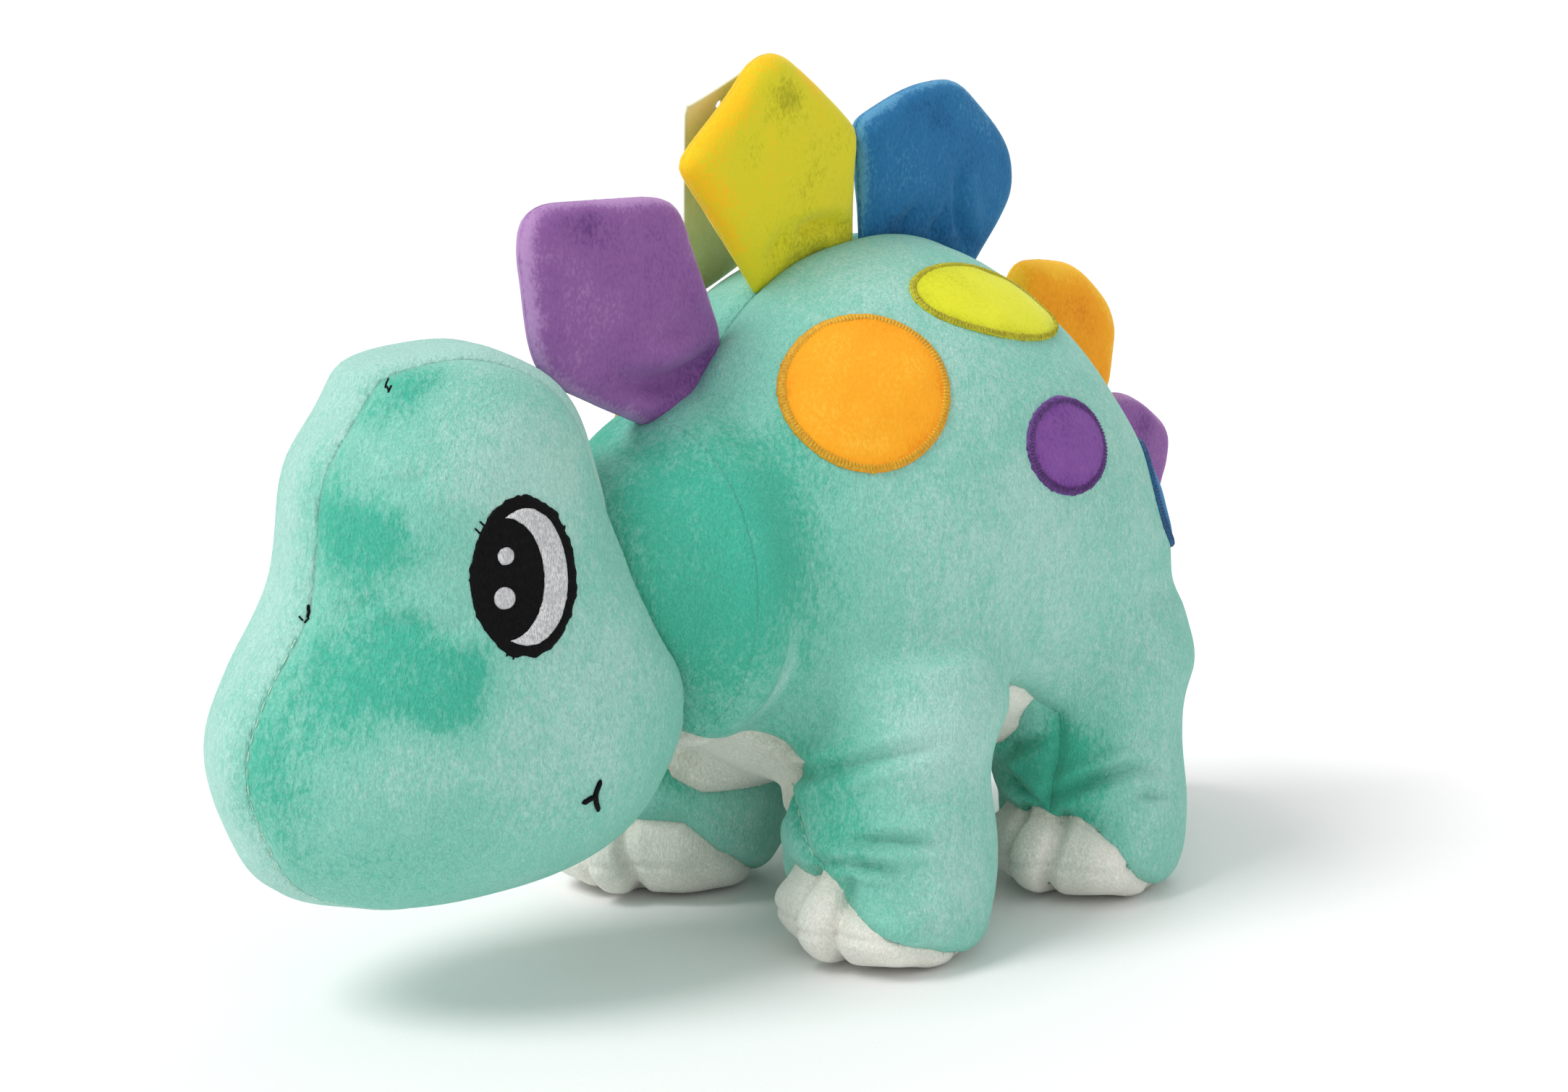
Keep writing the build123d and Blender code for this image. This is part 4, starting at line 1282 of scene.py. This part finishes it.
def make_spot(tree, name, side):
    place, facing, half, turn, cloth, stitching, width = SPOTS[name]
    word = "left" if side > 0 else "right"
    mirror = np.array((side, 1, 1))
    facing = np.array(facing) * mirror
    level = np.cross((0, 0, 1), facing)
    up = np.cross(facing, level)
    turn = math.radians(turn) * side
    level = level / np.linalg.norm(level) * math.cos(turn) + up / np.linalg.norm(up) * math.sin(turn)
    surface = Surface(tree, np.array(place) * mirror * MM, facing, level)
    half = np.array(half) * MM
    inside = lambda p: oval(p, (0, 0), half)
    points, triangles = cut_shape(inside, -half, half, PATCH_STEP)
    deep = inside(points)
    height = 0.3 * MM + domed(deep, 0.9 * MM, 7 * MM) + 0.25 * MM * noise(points + len(name), 9 * MM)
    placed = surface.lay(points, height)
    nap = 0.5 + 0.25 * noise(placed, 16 * MM, 2) + 0.35 * bell(deep, 4 * MM)
    patch = make_piece(
        f"{word}_{name}_spot_cloth", placed, triangles, cloth, "torso",
        [f"{word}_{name}_spot"], nap, PATCH_THICK,
    )
    triangles, placed = satin_ring(surface, half - width * MM / 2, width * MM, 1.8 * MM, 1.25 * MM)
    ring = make_piece(f"{word}_{name}_spot_satin_rim", placed, triangles, stitching, "torso")
    if name == "orange":
        triangles, placed = satin_ring(surface, half - (width + 0.8) * MM, 0.9 * MM, 1.0 * MM, 0.9 * MM)
        make_piece(f"{word}_orange_spot_inner_line", placed, triangles, RED_THREAD, "torso")


EYE_HALF = np.array((19, 26)) * MM
EYE_RIM = 4 * MM
PUPIL_SHIFT = 8.5 * MM
PUPIL_HALF = np.array((14.7, 20)) * MM
GLINTS = (((-70.5, 33.5), 2.9), ((-71.5, 20), 3.6))
EYE_STEP = 0.9 * MM


def make_eye(tree, side):
    word = "left" if side > 0 else "right"
    centre = HEAD_ORIGIN + HEAD_ACROSS * side * 50 * MM
    surface = Surface(tree, centre, HEAD_ACROSS * side, HEAD_BACK)
    surface.up = HEAD_UP
    low, high = EYE_CENTRE - EYE_HALF, EYE_CENTRE + EYE_HALF

    def black(p):
        fray = 0.5 * MM * noise(p, 1.5 * MM) + 0.4 * MM * noise(p + 9, 4 * MM)
        return oval(p, EYE_CENTRE, EYE_HALF) + fray

    def white(p):
        field = oval(p, EYE_CENTRE, EYE_HALF - EYE_RIM)
        pupil = oval(p, EYE_CENTRE - (PUPIL_SHIFT, 0), PUPIL_HALF)
        field = np.minimum(field, -pupil)
        for spot, radius in GLINTS:
            field = np.maximum(field, oval(p, np.array(spot) * MM, (radius * MM, radius * MM)))
        return field + 0.15 * MM * noise(p + 3, 1.2 * MM)

    for shade, inside, base, material in (
        ("black", black, 0.15 * MM, BLACK_THREAD), ("white", white, 0.95 * MM, WHITE_THREAD),
    ):
        points, triangles = cut_shape(inside, low, high, EYE_STEP if shade == "black" else 0.6 * MM)
        deep = inside(points)
        rows = 0.10 * MM * np.sin(points[:, 1] / (0.95 * MM) * 2 * math.pi + points[:, 0] / (6 * MM))
        height = base + domed(deep, 0.75 * MM, 1.6 * MM) + rows * np.clip(deep / MM, 0, 1)
        placed = surface.lay(points, height)
        make_piece(
            f"{word}_eye_{shade}_stitching", placed, oriented(placed, triangles, HEAD_ACROSS * side),
            material, "head", [f"{word}_eye_{shade}"], None, PATCH_THICK,
        )


THREAD_STEPS, THREAD_SIDES = 24, 8  # points along a stitch, and round it


def oriented(points, triangles, direction):
    """The triangles turned to face along a direction on the whole."""
    a, b, c = corners_of(points, triangles)
    if (np.cross(b - a, c - a).sum(axis=0) @ direction) < 0:
        return triangles[:, ::-1]
    return triangles


def thread_line(stops):
    if len(stops) == 2:
        start, end = np.array(stops, float)
        return start + np.linspace(0, 1, THREAD_STEPS)[:, None] * (end - start)
    return smooth_line(stops, THREAD_STEPS // (len(stops) - 1) + 1)


def stitches(tree, lines, radius, lift=0.4):
    """Thread lying on the cloth along lines: points and triangles of tapered tubes."""
    all_points, all_triangles, start = [], [], 0
    sides = THREAD_SIDES
    for stops in lines:
        line = thread_line(stops)
        hits = [tree.find_nearest(Vector(p)) for p in line]
        middle = np.array([np.array(hit[0]) + np.array(hit[1]) * radius * lift for hit in hits])
        normal = np.array([hit[1] for hit in hits])
        run = np.gradient(middle, axis=0)
        run /= np.maximum(np.linalg.norm(run, axis=1, keepdims=True), 1e-12)
        across = np.cross(run, normal)
        t = np.linspace(0, 1, len(line))
        taper = np.sqrt(np.clip(np.minimum(t, 1 - t) * 8, 0.02, 1))
        for i in range(len(line)):
            for k in range(sides):
                angle = 2 * math.pi * k / sides
                all_points.append(middle[i] + radius * taper[i] * (
                    across[i] * math.cos(angle) + normal[i] * math.sin(angle)
                ))
        n = len(line)
        for i in range(n - 1):
            for k in range(sides):
                a, b = start + i * sides + k, start + i * sides + (k + 1) % sides
                c, d = a + sides, b + sides
                all_triangles += [(a, b, d), (a, d, c)]
        for end in (0, n - 1):
            ring = start + end * sides
            fan = [(ring, ring + k, ring + k + 1) for k in range(1, sides - 1)]
            all_triangles += fan if end == 0 else [f[::-1] for f in fan]
        start += n * sides
    return np.array(all_points), np.array(all_triangles)


def make_face_stitches(tree):
    nostrils = [
        [head_point(side * 22.5, -128, 17.5), head_point(side * 22.3, -128, 13)] for side in (1, -1)
    ]
    points, triangles = stitches(tree, nostrils, 0.55 * MM)
    make_piece("nostril_threads", points, triangles, BLACK_THREAD, "head", ["nostril_stitches"])
    mouths = []
    for side in (1, -1):
        mouths.append([head_point(side * 60, y, z) for y, z in ((-34.2, -47), (-35.8, -53.5), (-32.3, -62.5))])
        mouths.append([head_point(side * 60, y, z) for y, z in ((-35.6, -54), (-38, -54.2), (-41.8, -55.4))])
    points, triangles = stitches(tree, mouths, 0.95 * MM)
    make_piece("mouth_threads", points, triangles, BLACK_THREAD, "head", ["mouth_stitches"])
    loose = (
        ((20, -97, 88), (23, -99, 85)), ((22, -98, 85.5), (25, -99, 85)), ((24.5, -98, 87), (25, -99, 84)),
        ((21, -128, 11), (23, -127, 13)), ((19, -129, 13), (20.5, -128, 11.5)),
        ((47, -77.5, 40), (45.5, -80, 43)), ((47, -76.5, 43), (46.5, -78.5, 45)),
        ((49, -70, 3.5), (47.5, -71.5, 0.5)), ((49, -68, 2.5), (50, -69.5, -0.5)),
    )
    knot = [[head_point(*stop) for stop in stops] for stops in loose]
    points, triangles = stitches(tree, knot, 0.33 * MM)
    make_piece("loose_thread_ends", points, triangles, BLACK_THREAD, "head")


STITCH = 3.4 * MM  # length of one stitch showing along a seam
STITCH_GAP = 2.2 * MM
# Heights from the top of a stitched seam to its bottom, and the step between its points, in mm
HEAD_SEAM = (6, -104, -3.0)
HEAD_SEAM_OUT = 21.3  # just outside the centre strip's edge
FRONT_LEG_SEAM = (60, 36, -2.0)
HIND_LEG_SEAM = (70, 36, -2.0)


def dashes(line):
    """A line of points cut into single stitches with gaps between them."""
    line = np.array(line)
    length = np.concatenate(([0], np.cumsum(np.linalg.norm(np.diff(line, axis=0), axis=1))))
    starts = np.arange(0, length[-1] - STITCH, STITCH + STITCH_GAP)
    for start in starts:
        at = np.linspace(start, start + STITCH, 5)
        yield np.column_stack([np.interp(at, length, line[:, i]) for i in range(3)])


def make_seam_stitches(body_tree, head_tree):
    """Pale thread that shows along the head's centre strip and down the legs."""
    lines = []
    for side in (1, -1):
        line = []
        for up in np.arange(*HEAD_SEAM):
            start = Vector(head_point(side * HEAD_SEAM_OUT, -200, up))
            hit = head_tree.ray_cast(start, Vector(HEAD_BACK))[0]
            if hit is not None:
                line.append(hit)
        lines += dashes(line)
    points, triangles = stitches(head_tree, lines, 0.28 * MM, 0.6)
    make_piece("head_seam_stitches", points, triangles, PALE_THREAD, "head")
    lines = []
    for leg in legs:
        line = []
        for up in np.arange(*(FRONT_LEG_SEAM if leg.front else HIND_LEG_SEAM)):
            probe = np.array([[leg.x, leg.y, up * MM]])
            out = -leg.seam(probe)[0] / MM
            start = Vector(leg.at(out, -90, up))
            hit = body_tree.ray_cast(start, Vector((0, 1, 0)))[0]
            if hit is not None:
                line.append(hit)
        lines += dashes(line)
    points, triangles = stitches(body_tree, lines, 0.3 * MM, 0.6)
    make_piece("leg_seam_stitches", points, triangles, PALE_THREAD, "torso")


# ------------------------------------------------------------------ card tag and its loop
TAG_HALF = (17, 43)  # half width and half height in mm
TAG_LEAN = 22  # degrees from upright
TAG_CORNER = 3
TAG_THICK = 0.8 * MM
TAG_HOLE = (7, 1.8)  # the hole's distance from the top edge, and its radius, in mm
TAG_STEP = 2.0 * MM


def make_tag():
    hinge = joint("tag_fold")
    foot, along = np.array(hinge["pos_m"]), np.array(hinge["axis"])
    straight = np.array((0, -along[2], along[1]))
    lean_and_shade = math.radians(TAG_LEAN)
    up = straight * math.cos(lean_and_shade) + np.cross(along, straight) * math.sin(lean_and_shade)
    across = np.cross(along, up)
    wide, tall = TAG_HALF
    corners = [(-wide, 0), (wide, 0), (wide, 2 * tall), (-wide, 2 * tall)]
    outline = rounded_outline(np.array(corners) * MM, [TAG_CORNER * MM] * 4)
    down, radius = TAG_HOLE
    hole = np.array((0, 2 * tall - down)) * MM
    inside = lambda p: np.minimum(
        depth_inside(p, outline), np.hypot(p[:, 0] - hole[0], p[:, 1] - hole[1]) - radius * MM
    )
    points, triangles = cut_shape(inside, outline.min(axis=0), outline.max(axis=0), TAG_STEP)
    bend = 0.9 * MM * (points[:, 1] / (2 * tall * MM)) ** 2 - 0.6 * MM * (points[:, 0] / (wide * MM)) ** 2
    placed = foot + points[:, :1] * along + points[:, 1:2] * up + bend[:, None] * across
    card = make_piece("blank_swing_tag", placed, triangles, CARD, "tag", ["swing_tag"], None, TAG_THICK)
    card.modifiers["thickness"].offset = 0


RIBBON_THICK = 0.8 * MM
RIBBON_STEPS, RIBBON_ROWS = 33, 7  # points along the loop, and across it


def make_tag_loop():
    """The ribbon loop sewn into the ridge that the tag hangs from, a little slack."""
    low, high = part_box("tag_loop")
    middle = (low + high) / 2
    half = (high.y - low.y) / 2 - RIBBON_THICK / 2
    turns = np.linspace(-0.12, 1.12, RIBBON_STEPS) * math.pi
    rise = high.z - low.z - half
    along = middle.y - half * np.cos(turns) * (1 + 0.18 * np.sin(turns))
    height = low.z + rise * (0.5 + 0.5 * np.sin(turns)) + half * np.maximum(np.sin(turns), 0)
    points, triangles = [], []
    for i, across in enumerate(np.linspace(low.x, high.x, RIBBON_ROWS)):
        sway = 0.5 * MM * np.sin(turns * 2)
        cup = 0.25 * MM * (2 * i / (RIBBON_ROWS - 1) - 1) ** 2
        points.append(np.column_stack((across + sway, along, height - cup)))
    for row in range(RIBBON_ROWS - 1):
        for step in range(RIBBON_STEPS - 1):
            a, b = row * RIBBON_STEPS + step, (row + 1) * RIBBON_STEPS + step
            triangles += [(a, a + 1, b + 1), (a, b + 1, b)]
    loop = make_piece(
        "tag_ribbon_loop", np.vstack(points), np.array(triangles), RIBBON, "torso",
        ["tag_loop"], None, RIBBON_THICK,
    )
    loop.modifiers["thickness"].offset = 0


# ------------------------------------------------------------------ stage
FLOOR_HALF = 40.0
FLOOR_DROP = 0.4 * MM  # keeps the floor clear of the soles
SKY = 0.68  # strength of the even white light
SUN = (1.75, 28, (0.35, 1.0, -1.35))  # strength, angle across in degrees and direction
LAMP = (5, 1.2, (-0.8, 1.4, 1.5), (0, 0.05, 0.15))  # watts, size across, place and what it points at


def make_light(name, kind, energy, place, direction):
    data = bpy.data.lights.new(name, kind)
    data.energy = energy
    light = bpy.data.objects.new(name, data)
    light.location = place
    light.rotation_mode = "QUATERNION"
    light.rotation_quaternion = Vector(direction).to_track_quat("-Z", "Y")
    bpy.context.collection.objects.link(light)
    return data


def make_stage():
    mesh = bpy.data.meshes.new("floor")
    corners = [(x * FLOOR_HALF, y * FLOOR_HALF, 0) for x, y in ((-1, -1), (1, -1), (1, 1), (-1, 1))]
    mesh.from_pydata(corners, [], [(0, 1, 2, 3)])
    floor = bpy.data.objects.new("floor", mesh)
    floor.location.z = -FLOOR_DROP
    bpy.context.collection.objects.link(floor)
    s = Shader("floor_paper")
    grain = s.noise(900, 2.0)
    colour = s.mix(s.spread(grain, 0.2, 0.8), linear("#F6F6F5"), linear("#F9F9F9"))
    floor.data.materials.append(s.finish(colour, 0.9, None, 0.0, "#FFFFFF", 0.2))
    world = bpy.data.worlds.new("studio")
    world.use_nodes = True
    background = world.node_tree.nodes["Background"]
    background.inputs["Color"].default_value = (1.0, 1.0, 1.0, 1.0)
    background.inputs["Strength"].default_value = SKY
    bpy.context.scene.world = world
    bpy.context.scene.view_settings.view_transform = "Standard"
    strength, across, direction = SUN
    make_light("key", "SUN", strength, (0, 0, 0), direction).angle = math.radians(across)
    watts, across, place, target = LAMP
    lamp = make_light("back", "AREA", watts, place, Vector(target) - Vector(place))
    lamp.shape = "DISK"
    lamp.size = across


make_camera()
make_stage()
body_tree = make_body()
head_tree = make_head()
make_fillings()
for plate_name in PLATE_SHAPES:
    Plate(plate_name).make()
for spot_name in SPOTS:
    for spot_side in (1, -1):
        make_spot(body_tree, spot_name, spot_side)
for eye_side in (1, -1):
    make_eye(head_tree, eye_side)
make_face_stitches(head_tree)
make_seam_stitches(body_tree, head_tree)
make_tag()
make_tag_loop()
